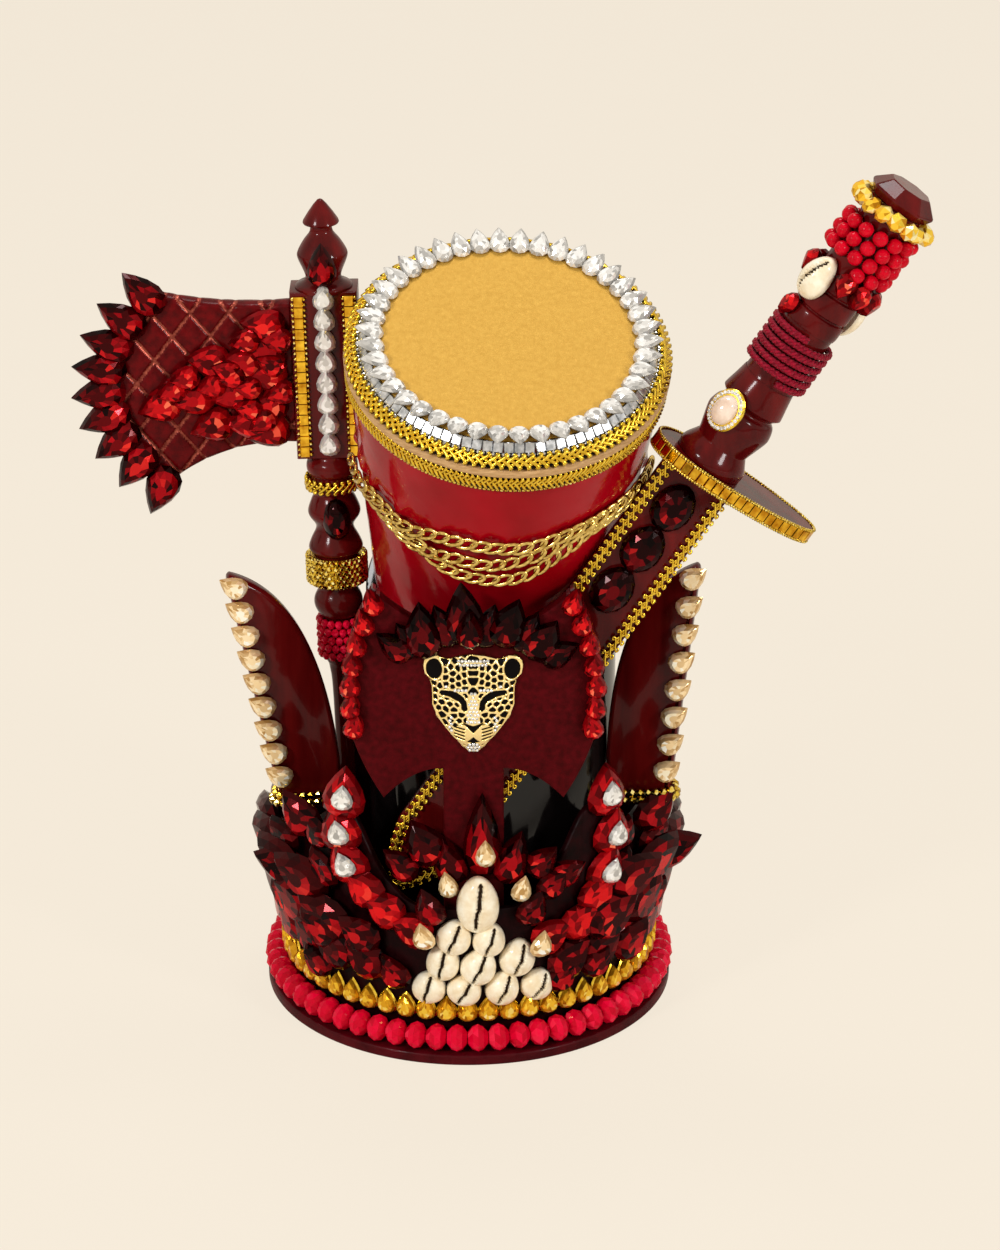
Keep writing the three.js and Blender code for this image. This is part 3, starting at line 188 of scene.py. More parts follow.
black_gloss = finish("black_gloss", (0.0015, 0.001, 0.001), (0.006, 0.004, 0.004), 15, (0.08, 0.16), coat=0.3)
satin_maroon = finish("satin_maroon", (0.045, 0.0012, 0.002), (0.085, 0.002, 0.004), 3, (0.42, 0.6), bump=0.09,
                      bump_grain=0.7, detail=6, gloss=0.04)
black_velvet = finish("black_velvet", (0.003, 0.002, 0.002), (0.01, 0.006, 0.007), 1.5, (0.8, 0.95), sheen=0.1,
                      bump=0.1, bump_grain=0.6, gloss=0.05)
cord_satin = finish("cord_satin", (0.14, 0.001, 0.009), (0.36, 0.004, 0.024), 1.2, (0.35, 0.5), sheen=0.05,
                    bump=0.05, bump_grain=0.3, gloss=0.1)
print("materials with lacquer and satin:", len(bpy.data.materials))

# %% [markdown]
# Braid, chain and mirror tape are bare metal: full Metallic, and a roughness low enough to catch
# the lamps. The gilded leather is mostly leather, so it has only a little metal in it. Shell and
# pearl are pale and get a clear coat, which gives them their thin skin of shine.
# %% Finishes: metal, leather, wood, shell and pearl
gilt = finish("gilt", (0.6, 0.37, 0.022), (0.86, 0.61, 0.07), 3, (0.16, 0.3), metal=1, bump=0.04, bump_grain=0.6)
pale_gilt = finish("pale_gilt", (0.38, 0.23, 0.04), (0.84, 0.62, 0.2), 2, (0.08, 0.2), metal=1, bump=0.03,
                   bump_grain=0.5)
silver_mirror = finish("silver_mirror", (0.26, 0.28, 0.3), (0.66, 0.67, 0.69), 4, (0.28, 0.38), metal=1)
amber_mirror = finish("amber_mirror", (0.42, 0.16, 0.006), (0.92, 0.55, 0.04), 5, (0.04, 0.12), metal=1)
gold_leather = finish("gold_leather", (0.53, 0.292, 0.047), (0.6, 0.345, 0.062), 2.2, (0.42, 0.62), metal=0.15,
                      bump=0.14, bump_grain=0.8, detail=8, gloss=0.06)
pale_wood = finish("pale_wood", (0.44, 0.25, 0.1), (0.64, 0.4, 0.19), 5, (0.4, 0.55), bump=0.04, bump_grain=0.8,
                   stretch=(1, 1, 6), detail=5, gloss=0.1)
berry_red = finish("berry_red", (0.5, 0.0008, 0.01), (0.68, 0.002, 0.018), 4, (0.1, 0.18), coat=0.08, gloss=0.06)
pearl_skin = finish("pearl_skin", (0.74, 0.52, 0.38), (0.94, 0.76, 0.62), 6, (0.08, 0.14), coat=0.8, gloss=0.5)
shell_skin = finish("shell_skin", (0.86, 0.7, 0.45), (1.0, 0.92, 0.73), 5, (0.2, 0.32), coat=0.25, bump=0.05,
                    bump_grain=1, detail=5)
# The dark of a cowrie's slit is painted shade in the hollow of the shell.
shell_slit = finish("shell_slit", (0.02, 0.012, 0.006), (0.1, 0.06, 0.035), 1, (0.6, 0.8))
print("materials in all:", len(bpy.data.materials))

# %% [markdown]
# New shapes are arrays of points. A surface is a grid: one index runs along it, the other across,
# and each face joins four neighbours. A shape that repeats is made once and copied as an array.
# Primitives could be put together by hand, but then a change of one size would mean doing it all
# again.
# %% Grids and copies
def points_of(x, y, z):
    """Points from three arrays, each stretched to the shape that they share."""
    return np.stack(np.broadcast_arrays(x, y, z), -1)


def unit(vectors):
    """Each vector over its own length."""
    return vectors / np.maximum(np.linalg.norm(vectors, axis=-1, keepdims=True), 1e-12)


def grid(points, wrap_rows=False, wrap_columns=False, caps=False):
    """Faces of a grid of points: row i and column j meet row i+1 and column j+1."""
    rows, columns = points.shape[:2]
    i = np.arange(rows if wrap_rows else rows - 1)[:, None]
    j = np.arange(columns if wrap_columns else columns - 1)[None, :]
    i2, j2 = (i + 1) % rows, (j + 1) % columns
    corners = np.broadcast_arrays(i * columns + j, i * columns + j2, i2 * columns + j2, i2 * columns + j)
    faces = [np.stack(corners, -1).reshape(-1, 4)]
    if caps:
        faces += [np.arange(columns)[None, ::-1], (rows - 1) * columns + np.arange(columns)[None, :]]
    return points.reshape(-1, 3), faces


def repeated(faces, count, points_each):
    """A shape's faces for each of its copies: a copy's points come after the last one's."""
    steps = (np.arange(count) * points_each)[:, None, None]
    return [(block[None] + steps).reshape(-1, block.shape[1]) for block in faces]


def copies(shape, frames, places):
    """Every copy of a shape: its points turned by a frame, then moved to a place."""
    points, faces = shape
    moved = np.einsum("nij,vj->nvi", frames, points) + np.asarray(places)[:, None, :]
    return moved.reshape(-1, 3), repeated(faces, len(places), len(points))


# %% [markdown]
# Every face of a stone gets a value between 0 and 1 that the stone finishes read. The value is
# painted light: brightest on the top facets and darkest at the girdle, so it is a random number
# times a weight for the ring that the face lies in. A texture could not do this, because it would
# run across the facets' edges.
# %% How bright each facet is
# Painted light on a cut stone's blocks: back, table, two of the girdle, two of the crown, four inner
RING_LIGHT_WEIGHTS = (0.2, 0.8, 0.1, 0.1, 0.5, 0.55, 0.85, 0.8, 1.0, 1.0)
PEAR_SIDES = 14


def face_weights(blocks):
    """How much painted light each face may take: by its ring and, on a pear, 0.5 at the tip up to 1 at the tail."""
    if len(blocks) != len(RING_LIGHT_WEIGHTS):
        return [np.ones(len(block)) for block in blocks]
    # On a pear the painted light grows from the tip to the tail.
    a = np.arange(PEAR_SIDES) * 2 * np.pi / PEAR_SIDES
    glow = 0.75 - 0.25 * np.cos(a) if blocks[1].shape[1] == PEAR_SIDES else np.ones(1)
    return [depth * (np.resize(glow, len(block)) if block.shape[1] == 3 else np.ones(len(block)))
            for block, depth in zip(blocks, RING_LIGHT_WEIGHTS)]


def facet_values(blocks, rng):
    """A random painted brightness for each face; the two triangles that make one kite of a stone share theirs."""
    values, draw = [], None
    for number, (block, weight) in enumerate(zip(blocks, face_weights(blocks))):
        second_of_kite = len(blocks) == len(RING_LIGHT_WEIGHTS) and number > 2 and number % 2
        draw = draw if second_of_kite else rng.random(len(block))
        values.append(draw * weight)
    return values


# %% [markdown]
# A piece may hold several shells, each with its own finish. They become one mesh: points that fall
# together are merged, the faces are turned outwards, and the part of the solid model that the piece
# stands in for is hidden. They could stay separate objects, but one mesh can be hidden, exported or
# replaced as the one thing that it is.
# %% Pieces
FACET_SEED = 7
MERGE_DISTANCE = 2e-6


def joined(shells):
    """All shells as one: points, faces, each face's finish as a number, the finishes, the facets' values."""
    points, faces, indices, finishes, values = [], [], [], [], []
    start, rng = 0, np.random.default_rng(FACET_SEED)
    for shell_points, shell_faces, shell_finish in shells:
        if shell_finish not in finishes:
            finishes.append(shell_finish)
        points.append(shell_points)
        for block in shell_faces:
            faces += (block + start).tolist()
            indices += [finishes.index(shell_finish)] * len(block)
        values += facet_values(shell_faces, rng)
        start += len(shell_points)
    return np.concatenate(points), faces, np.array(indices, np.int32), finishes, np.concatenate(values)


def close_up(mesh):
    """Merge points that fall together and turn every face outwards."""
    work = bmesh.new()
    work.from_mesh(mesh)
    bmesh.ops.remove_doubles(work, verts=work.verts, dist=MERGE_DISTANCE)
    bmesh.ops.recalc_face_normals(work, faces=work.faces)
    work.to_mesh(mesh)
    work.free()


def piece(name, shells, solid, smooth=False):
    """One object from shells of (points in mm, faces, finish); it stands in for a solid, which is hidden."""
    points, faces, indices, finishes, values = joined(shells)
    mesh = bpy.data.meshes.new(name)
    mesh.from_pydata((points * MM).tolist(), [], faces)
    mesh.polygons.foreach_set("material_index", indices)
    for one in finishes:
        mesh.materials.append(one)
    facet = mesh.attributes.new("facet", "FLOAT", "FACE")
    facet.data.foreach_set("value", values.astype(np.float32))
    close_up(mesh)
    mesh.polygons.foreach_set("use_smooth", np.full(len(mesh.polygons), smooth))
    made = bpy.data.objects.new(name, mesh)
    bpy.context.scene.collection.objects.link(made)
    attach(made, "root")
    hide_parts(solid)
    print(name, len(mesh.polygons), "faces")
    return made


def crease(made, angle=40):
    """Smooth shading that breaks where two faces meet at more than an angle."""
    made.data.shade_smooth()
    made.data.set_sharp_from_angle(angle=np.radians(angle))


# %% [markdown]
# Three generators cover most of the crown. A turned form carries a profile round an axis, a tube
# carries a ring of points along a path, and a plate offsets an outline for its bevels. The Screw
# modifier and bevelled curves would do as well; with arrays a ripple or a dip is one more term in
# a sum.
# %% Turned forms
def even_turns(count):
    """Angles in degrees that share the round evenly."""
    return np.arange(count) * 360 / count


def around(angles, radius=1.0, height=0.0):
    """Places round the axis: 0 is the front, positive turns towards +x."""
    a = np.radians(np.asarray(angles, float))
    return points_of(radius * np.sin(a), -radius * np.cos(a), height)


def turned(profile, steps=96, ripple=None, ring=False):
    """Profile (radius, height) carried round z: x = r sin a, y = -r cos a, z = h; a ring closes on itself."""
    radius, height = np.asarray(profile, float).T[:, :, None]
    a = np.linspace(0, 2 * np.pi, steps, endpoint=False)[None, :]
    r = radius + (ripple(a, height) if ripple else 0 * a)
    points = points_of(r * np.sin(a), -r * np.cos(a), height)
    return grid(points, wrap_rows=ring, wrap_columns=True, caps=not ring and radius[0, 0] > 0)


def rounded(profile, steps=6):
    """A smooth curve through a profile's points (Catmull-Rom, each span in a few steps)."""
    p = np.asarray(profile, float)
    p = np.concatenate([[2 * p[0] - p[1]], p, [2 * p[-1] - p[-2]]])
    t = np.linspace(0, 1, steps, endpoint=False)[None, :, None]
    a, b, c, d = p[:-3, None], p[1:-2, None], p[2:-1, None], p[3:, None]
    curve = 0.5 * (2 * b + (c - a) * t + (2 * a - 5 * b + 4 * c - d) * t**2 + (3 * b - a - 3 * c + d) * t**3)
    return np.concatenate([curve.reshape(-1, p.shape[1]), p[-2:-1]])


# %% [markdown]
# Cords follow a path. At each of its points three directions are needed: along the path, out from
# the surface below, and across. The ring of points lies in the last two. A bevelled curve chooses
# its roll by itself, and a braid that lies on a surface would then twist.
# %% Tubes, plates and turning
def tube(path, radius, out, sides=8, closed=False):
    """A ring of points carried along a path: place + r (across cos t + outward sin t)."""
    path = np.asarray(path, float)
    ahead = np.roll(path, -1, 0) - np.roll(path, 1, 0) if closed else np.gradient(path, axis=0)
    along = unit(ahead)
    across = unit(np.cross(np.broadcast_to(out, path.shape), along))
    outward = np.cross(along, across)
    t = np.linspace(0, 2 * np.pi, sides, endpoint=False)[:, None]
    points = path[:, None] + radius * (across[:, None] * np.cos(t) + outward[:, None] * np.sin(t))
    return grid(points, wrap_rows=closed, wrap_columns=True, caps=not closed)


def plate(outline, back, front, bevel):
    """An outline in x and z between two depths; each edge is drawn in by the bevel."""
    outline = np.asarray(outline, float)
    ahead = unit(np.roll(outline, -1, 0) - np.roll(outline, 1, 0))
    area = np.sum(outline[:, 0] * np.roll(outline[:, 1], -1) - np.roll(outline[:, 0], -1) * outline[:, 1])
    inward = np.stack([-ahead[:, 1], ahead[:, 0]], -1) * np.sign(area)
    step = np.sign(front - back) * bevel
    rings = [(1.0, back), (0.3, back + 0.3 * step), (0, back + step),
             (0, front - step), (0.3, front - 0.3 * step), (1.0, front)]
    points = [np.insert(outline + inward * bevel * share, 1, depth, axis=1) for share, depth in rings]
    return grid(np.stack(points), wrap_columns=True, caps=True)


def placed(shell, frame_matrix, origin):
    """A shell turned by a matrix and moved to its origin."""
    points, faces = shell
    return points @ frame_matrix.T + origin, faces


def moved(shells, frame_matrix, origin):
    """The same for a list of shells that have their finishes with them."""
    return [(*placed((points, faces), frame_matrix, origin), one) for points, faces, one in shells]


def turn(axis, degrees):
    """The matrix that turns about x, y or z by an angle."""
    c, s = np.cos(np.radians(degrees)), np.sin(np.radians(degrees))
    i, j = {"x": (1, 2), "y": (2, 0), "z": (0, 1)}[axis]
    matrix = np.eye(3)
    matrix[i, i], matrix[i, j], matrix[j, i], matrix[j, j] = c, -s, s, c
    return matrix


# %% [markdown]
# A pear stone has a round tail and a pointed tip. Its outline comes from one angle: across, sin a
# is pinched towards the tip; along, cos a, with the belly moved towards the tail. Rings of this
# outline, each turned by half a step, give the kite facets of a real cut: a drawn-in back, the
# girdle, the crown and the table. Beads are made of the same rings round a plain circle. Planes
# that cut a smooth drop would give the same look; the rings need fewer faces, and the stones come
# in hundreds.
# %% Cut stones and beads
def faceted(levels, sides, outline):
    """Rings of an outline (levels: share of the outline, height, shift in steps) joined by triangles."""
    share, height, shift = np.array(levels, float).T
    a = (np.arange(sides)[None, :] + shift[:, None]) * 2 * np.pi / sides
    x, y = outline(a)
    points = points_of(x * share[:, None] / 2, y * share[:, None] / 2, height[:, None])
    k = np.arange(sides)
    after = (k + 1) % sides
    faces = [k[None, ::-1], (len(levels) - 1) * sides + k[None, :]]
    for level in range(len(levels) - 1):
        low, high = level * sides, (level + 1) * sides
        if shift[level + 1] > shift[level]:
            pair = (low + k, low + after, high + k), (low + after, high + after, high + k)
        else:
            pair = (low + k, high + after, high + k), (low + k, low + after, high + after)
        faces += [np.stack(corners, -1) for corners in pair]
    return points.reshape(-1, 3), faces


def cut_stone(sides=PEAR_SIDES, pinch=1.0):
    """Unit stone: across is sin a times sin(a / 2) to the power of pinch, along is cos a; tip at +y."""
    levels = [(0.8, 0, 0.5), (1, 0.3, 0), (0.84, 0.7, 0.5), (0.6, 1, 0), (0.3, 1.02, 0.5)]
    points, faces = faceted(levels, sides, lambda a: (np.sin(a) * np.sin(a / 2 % np.pi) ** pinch, np.cos(a)))
    points[:, 0] /= 2 * np.abs(points[:, 0]).max()
    return points, faces


def bead(sides, levels):
    """Unit bead: a faceted barrel round z, one across and one high."""
    return faceted(levels, sides, lambda a: (np.sin(a), -np.cos(a)))


def seated(shape, size, at, out, roll=0, lean=0, up=(0, 0, 1)):
    """Copies of a unit stone, scaled, leant at the tail, rolled about out and set at their places."""
    at = np.atleast_2d(at).astype(float)
    count = len(at)
    out = unit(np.broadcast_to(np.asarray(out, float), (count, 3)))
    up = np.broadcast_to(np.asarray(up, float), (count, 3))
    up = np.where(np.abs(np.sum(up * out, -1, keepdims=True)) > 0.999, (0.0, 1.0, 0.0), up)
    along = unit(up - out * np.sum(up * out, -1, keepdims=True))
    base = np.stack([np.cross(along, out), along, out], -1)
    size = np.broadcast_to(np.asarray(size, float), (count, 3))
    roll = np.radians(np.broadcast_to(np.asarray(roll, float), count))
    lean = np.radians(np.broadcast_to(np.asarray(lean, float), count))
    p = shape[0][None] * size[:, None]
    y, z = p[..., 1] + size[:, None, 1] / 2, p[..., 2]
    c, s = np.cos(lean)[:, None], np.sin(lean)[:, None]
    y, z = y * c - z * s - size[:, None, 1] / 2, y * s + z * c
    c, s = np.cos(roll)[:, None], np.sin(roll)[:, None]
    local = np.stack([p[..., 0] * c + y * s, -p[..., 0] * s + y * c, z], -1)
    points = np.einsum("nij,nvj->nvi", base, local) + at[:, None]
    return points.reshape(-1, 3), repeated(shape[1], count, len(shape[0]))


pear = cut_stone()
oval = cut_stone(pinch=0.12)
rondelle = bead(9, [(0.42, -0.5, 0), (0.86, -0.27, 0.5), (1, 0, 0), (0.86, 0.27, 0.5), (0.42, 0.5, 0)])
seed_bead = bead(6, [(0.5, -0.5, 0), (1, -0.12, 0.5), (1, 0.2, 0), (0.5, 0.5, 0.5)])
print("a pear stone has", sum(len(f) for f in pear[1]), "faces")

# %% [markdown]
# The board is turned wood, lacquered dark. The band stands on it; its top edge dips in front and
# peaks on each side of the dip, so its height is a function of the angle round the axis. The dips
# could be cut out with a boolean, but the rounded edge would be lost.
# %% Board and band
GAP = 0.3
ON_BOARD = 5.9
BAND_RADIUS, BAND_INSIDE = 86, 82.5
BAND_HEIGHT, DIP_DEPTH, DIP_EDGE = 100, 24, 13.5
PEAK_RISE, PEAK_TURN, PEAK_SPREAD = 19, 42, 13
# Over the band's rounded edge from outside to inside: radius, and height measured from the top
BAND_EDGE = [(BAND_RADIUS, -1), (85.6, -0.3), (84.6, 0), (83.4, 0), (82.7, -0.4), (BAND_INSIDE, -1.2)]


def smooth_step(share):
    """3 share^2 - 2 share^3: it leaves 0 and reaches 1 without a corner."""
    inside = np.clip(share, 0, 1)
    return inside * inside * (3 - 2 * inside)


def band_top(angles):
    """Height of the band less the dip in front, plus a bell-shaped peak on each side."""
    side = np.abs((np.asarray(angles, float) + 180) % 360 - 180)
    dip = 1 - smooth_step((side - DIP_EDGE) / (PEAK_TURN - DIP_EDGE))
    peak = np.exp(-(((side - PEAK_TURN) / PEAK_SPREAD) ** 2))
    return BAND_HEIGHT - DIP_DEPTH * dip + PEAK_RISE * peak * (1 - dip)


board_profile = rounded([(96.6, 0), (97.9, 0.7), (98, 2.8), (97.9, 4.9), (96.6, 5.6)], 3)
board = turned([(0, 0), *board_profile, (0, 5.6)], 180)
crease(piece("base_board", [(*board, board_lacquer)], "base_disc"))

angles = even_turns(240)
top = band_top(angles)
over_edge = [around(angles, radius, top + drop) for radius, drop in BAND_EDGE]
band_points = [around(angles, BAND_RADIUS, ON_BOARD), *over_edge, around(angles, BAND_INSIDE, ON_BOARD)]
band = grid(np.stack(band_points), wrap_rows=True, wrap_columns=True)
crease(piece("open_band", [(*band, band_black)], "crown_band"))

# %% [markdown]
# Sixty coral rondelles are threaded round the board, each lying on its side, so a bead's axis
# follows the ring. One bead is made, then copied as a whole array of frames and places. An Array
# modifier would do the same with an empty to turn about; the arrays need nothing else.
# %% Coral rondelles and amber pears
CORAL_RADIUS, CORAL_HEIGHT = 93.1, 12.4
AMBER_RADIUS, AMBER_HEIGHT = 86.3, 24.6


def ring_frames(angles):
    """Frames with x outwards, y up and z along the ring."""
    out = around(angles)
    up = np.broadcast_to([0.0, 0.0, 1.0], out.shape)
    return np.stack([out, up, np.cross(out, up)], -1)


coral_turns = even_turns(60) + 3
coral_beads = copies((rondelle[0] * (13, 13, 9.6), rondelle[1]), ring_frames(coral_turns),
                     around(coral_turns, CORAL_RADIUS, CORAL_HEIGHT))
coral_thread = tube(around(even_turns(180), CORAL_RADIUS, CORAL_HEIGHT), 0.9, (0, 0, 1), 6, closed=True)
piece("coral_rondelles", [(*coral_beads, coral), (*coral_thread, black_velvet)], "coral_bead_ring")

amber_out = around(even_turns(56))
amber_place = amber_out * AMBER_RADIUS + (0, 0, AMBER_HEIGHT)
amber_pears = seated(pear, (9.2, 12.3, 4.2), amber_place + amber_out * 0.8, amber_out)
amber_cups = seated(pear, (10.5, 13.5, 1.9), amber_place, amber_out)
piece("amber_pears", [(*amber_pears, amber), (*amber_cups, gilt)], "amber_stone_ring")

# %% [markdown]
# The garnets are sewn in three rows that sweep up and back from the front like feathers. Each row
# is a list of angles, and each stone leans out at its tip, more in the higher rows. Larger single
# stones lie over the rows; they are the ones that break the band's outline. Stones scattered by
# chance would not overlap like feathers, so the rows are kept as lists.
# %% Garnet rows
ROWS_END = 162
# Size, height, first angle, number of stones, roll and lean of each row
GARNET_ROWS = [((21, 27, 7), 47, 33, 12, 48, 6), ((25, 34, 8.5), 63.3, 48, 9, 55, 12),
               ((25, 34, 8.5), 80, 57, 9, 62, 22)]
# The second layer: angle, height, lift off the band, the angle it faces, roll, width, length
OVER = {"left": [(-23, 43, .6, -23, -30, 15, 21), (-34, 60, 3, -32, -58, 19, 24), (-48, 57, 5.5, -42, -58, 20, 25),
                 (-49, 86, 1, -49, -30, 18, 23), (-59, 109, 4, -35, -36, 22, 27), (-68, 77, 9, -30, -74, 21, 28),
                 (-50, 37, 4, -48, -50, 15, 19), (-70, 90, 4, -55, -50, 18, 22), (-66, 62, 6, -55, -60, 18, 22),
                 (-51, 103, .6, -50, -20, 15, 18)],
        "right": [(30, 38.5, .6, 30, 30, 14, 20), (44, 62, 3, 42, 52, 18, 23), (56, 45, 5, 50, 48, 20, 25),
                  (52, 84, 1, 52, 32, 17, 22), (70, 105, 7, 34, 40, 21, 28), (80, 77, 13, 28, 74, 21, 29),
                  (41, 42, 4, 40, 40, 15, 19), (72, 88, 4, 55, 50, 18, 22), (67, 62, 6, 55, 62, 18, 22),
                  (54, 101, .6, 52, 22, 15, 18)]}


def garnet_rows(side):
    """Three rows of stones, every second one lifted; towards the back they lean out less and less."""
    shells = []
    for size, height, start, count, roll, lean in GARNET_ROWS:
        turns = side * np.linspace(start, ROWS_END, count)
        lift = np.where(np.arange(count) % 2, 0.9, GAP)[:, None]
        wobble = np.random.default_rng(count).uniform(-4, 4, count)
        leans = lean * (1 - 0.75 * np.linspace(0, 1, count) ** 4)
        shells.append(seated(pear, size, around(turns, BAND_RADIUS, height) + around(turns) * lift, around(turns),
                             side * (roll + wobble), leans))
    return shells


for word, side in (("left", -1), ("right", 1)):
    turns, height, lift, facing, roll, wide, long = np.array(OVER[word], float).T
    size = np.column_stack([wide, long, np.full(len(turns), 6.5)])
    over = seated(pear, size, around(turns, BAND_RADIUS + lift, height), around(facing), roll, 8)
    shells = [(*shell, garnet) for shell in [*garnet_rows(side), over]]
    piece("garnet_feathers_" + word, shells, "garnets_" + word)

# %% [markdown]
# On each side of the cowries six rubies climb the band's peak. They turn towards the front more
# than the band does, so each has its own facing. The upper three carry a clear pear on top, and
# the lowest a champagne one beside the cowries. No simple curve matched the real swags, so the
# stones are listed one by one.
# %% Ruby swags
# From the front upwards: angle, height, the angle it faces, roll, width, length
SWAGS = {"left": [(-17.5, 66, -17, -66, 19, 23), (-26.3, 74, -24, -58, 19.5, 24), (-33.3, 83, -26, -42, 19.5, 24),
                  (-39, 94.5, -15, -24, 20, 25), (-41.5, 110, -10, -10, 20, 26), (-39.6, 129, -8, 4, 20.5, 28)],
         "right": [(26.5, 60, 26, 62, 18.5, 22), (37, 64, 34, 53, 19.5, 24), (43.5, 75.5, 36, 38, 20, 25),
                   (47, 86.8, 30, 20, 20, 26), (49.3, 105, 30, 8, 20, 27), (46.4, 127, 30, -2, 20.5, 28)]}
RUBY_DEPTH, ON_RUBY, CLEAR_FROM = 7, 6.6, 3
ACCENT_TURN, ACCENT_DROP = 5, 0.5
for word, rows in SWAGS.items():
    turns, height, facing, roll, wide, long = np.array(rows, float).T
    lift = GAP + 0.08 * np.abs(turns - facing)[:, None]
    place = around(turns, BAND_RADIUS, height) + around(turns) * lift
    rubies = seated(pear, np.column_stack([wide, long, np.full(len(rows), RUBY_DEPTH)]), place, around(facing), roll)
    raised = (place + around(facing) * ON_RUBY)[CLEAR_FROM:]
    on_top = seated(pear, (10.5, 13, 4.4), raised, around(facing[CLEAR_FROM:]), roll[CLEAR_FROM:])
    accent_turn = turns[:1] - np.sign(turns[:1]) * ACCENT_TURN
    accent_place = around(accent_turn, BAND_RADIUS + 7.4, height[:1] - ACCENT_DROP)
    accent = seated(pear, (11, 14, 4.4), accent_place, around(accent_turn), roll[:1] * 0.2)
    piece("ruby_pears_" + word, [(*rubies, ruby), (*on_top, clear), (*accent, champagne)], "ruby_swag_" + word)

# %% [markdown]
# A cowrie is a dome with a toothed slit along its mouth. The dome is a square grid squeezed into a
# disc, x = s sqrt(1 - t t / 2), which gives even faces all over. A narrow bell curve along the
# middle cuts the slit, and a fast sine on both sides of it makes the teeth. It could be sculpted,
# but a formula serves all twelve shells and is corrected by changing a number.
# %% One cowrie
TEETH = 46


def disc(steps):
    """A square grid of s and t squeezed into a disc: x = s sqrt(1 - t t / 2), y = t sqrt(1 - s s / 2)."""
    s, t = np.meshgrid(np.linspace(-1, 1, steps + 1), np.linspace(-1, 1, steps + 1), indexing="ij")
    return s * np.sqrt(1 - t * t / 2), t * np.sqrt(1 - s * s / 2)


def cowrie(steps=40):
    """Unit shell, mouth towards +z: height (1 - r r) to the power 0.45, plus lips, less teeth and slit."""
    x, y = disc(steps)
    reach = np.clip(x * x + y * y, 0, 1)
    wide = 1 - 0.12 * y - 0.06 * y * y
    swing = 0.12 * np.sin(2.2 * y) + 0.02 * np.sin(9 * y + 1)
    slit_width = (0.11 + 0.04 * np.sin(TEETH * y)) * (1 + 0.35 * y)
    slit = np.exp(-(((x - swing) / slit_width) ** 2)) * smooth_step((0.88 - np.abs(y)) / 0.12)
    lips = np.exp(-(((np.abs(x - swing) - 0.17) / 0.1) ** 2)) * smooth_step((0.85 - np.abs(y)) / 0.2)
    teeth = lips * (0.5 + 0.5 * np.sin(TEETH * y))
    z = (1 - reach) ** 0.45 + 0.05 * lips - 0.05 * teeth - 0.42 * slit
    dome = points_of(x * wide / 2, y / 2, np.where(reach > 0.999, 0, np.maximum(z, 0.02)))
    points, faces = grid(dome)
    under, under_faces = grid(dome * (1, 1, 0))
    middle = slit.reshape(-1)[faces[0]].mean(-1) > 0.5
    return np.concatenate([points, under]), faces[0][~middle], faces[0][middle], under_faces[0] + len(points)


shell_points, shell_body, shell_mouth, shell_back = cowrie()


def shells_at(size, at, out, roll):
    """Cowries set at places: the body in shell colour, the slit in a dark painted shade."""
    points, faces = seated((shell_points, [shell_body, shell_mouth, shell_back]), size, at, out, roll)
    return [(points, [faces[0], faces[2]], shell_skin), (points, [faces[1]], shell_slit)]


print("a cowrie has", len(shell_body) + len(shell_mouth) + len(shell_back), "faces")

# %% [markdown]
# Ten cowries are piled into a pyramid, four, three, two and a large one. No two real shells are
# alike, so each has its own place, tilt and size, read off the photograph. Where two overlap,
# the upper one lies a little further out.
# %% Cowrie pyramid
# Angle, height, lift off the band, roll, width and length of each shell, from the lowest row up
SHELLS = [(-11.9, 35.4, 0.3, 4, 16.3, 16.6), (-0.9, 35, 0.3, 20, 16.6, 16.4), (10.8, 35.4, 0.3, 16, 16, 18.2),
          (21.8, 35, 0.3, 24, 16, 16.4),
          (-7.5, 49.2, 0.3, 3, 16, 19.2), (3.4, 47.4, 1.1, 16, 17, 19.2), (15.5, 50.4, 0.3, 11, 17.4, 19.4),
          (-4, 62.8, 1.1, 13, 16.6, 18.4), (6.6, 61.4, 1.1, 11, 15.6, 17.4),
          (3.2, 80.2, 2.1, 0, 20, 29)]
SHELL_DEPTH = 8
for number, (shell_turn, height, lift, roll, wide, long) in enumerate(SHELLS, 1):
    shells = shells_at((wide, long, SHELL_DEPTH), around([shell_turn], BAND_RADIUS + lift, height),
                       around([shell_turn]), roll)
    piece("shell_%02d" % number, shells, "cowrie_%02d" % number, smooth=True)

# %% [markdown]
# Above the cowries a fan of garnets leans on the plate's shaft, with champagne pears glued on
# top. The stones stand in one plane, so each needs only its place, its roll and its size. Three
# low stones close the gap between the fan and the cowries and lie on the band.
# %% Front fan
FRONT = (0, -1, 0)
LABRYS_MIDDLE, LABRYS_FRONT = 3, 75.7


def front_places(x, depth, height):
    """Places in front of an upright plane: depth counts towards the front."""
    return points_of(np.asarray(x, float), -depth, np.asarray(height, float))


# x, height, roll, width, length and depth of each stone
fan = np.array([(7, 111, 0, 18, 44, 9.5), (21, 99.5, 18, 17, 29, 8.3), (35, 97.5, 42, 15, 20, 7.2),
                (-20, 107, -28, 20, 27, 7.2), (-8, 98, -16, 17, 26, 8.3), (-31, 96, -48, 15, 22, 6.2),
                (47, 92, 58, 14, 19, 6.2)], float)
fan_stones = seated(pear, fan[:, 3:], front_places(fan[:, 0], LABRYS_FRONT + GAP, fan[:, 1]), FRONT, fan[:, 2])
accents = seated(pear, (9.5, 14, 4), front_places([8.5, 25.5, -9], LABRYS_FRONT + 9, [105, 87, 89]), FRONT,
                 [0, 14, -12])
low_turns = np.array([-11.5, 20.0, 26.5])
low_stones = seated(pear, [(15, 21, 6.5), (15, 20, 6.5), (14, 19, 6)],
                    around(low_turns, BAND_RADIUS + 1.5, [79, 77, 88]), around(low_turns), [-18, 24, 42], 6)
piece("garnet_fan", [(*fan_stones, garnet), (*low_stones, garnet), (*accents, champagne)], "front_fan")

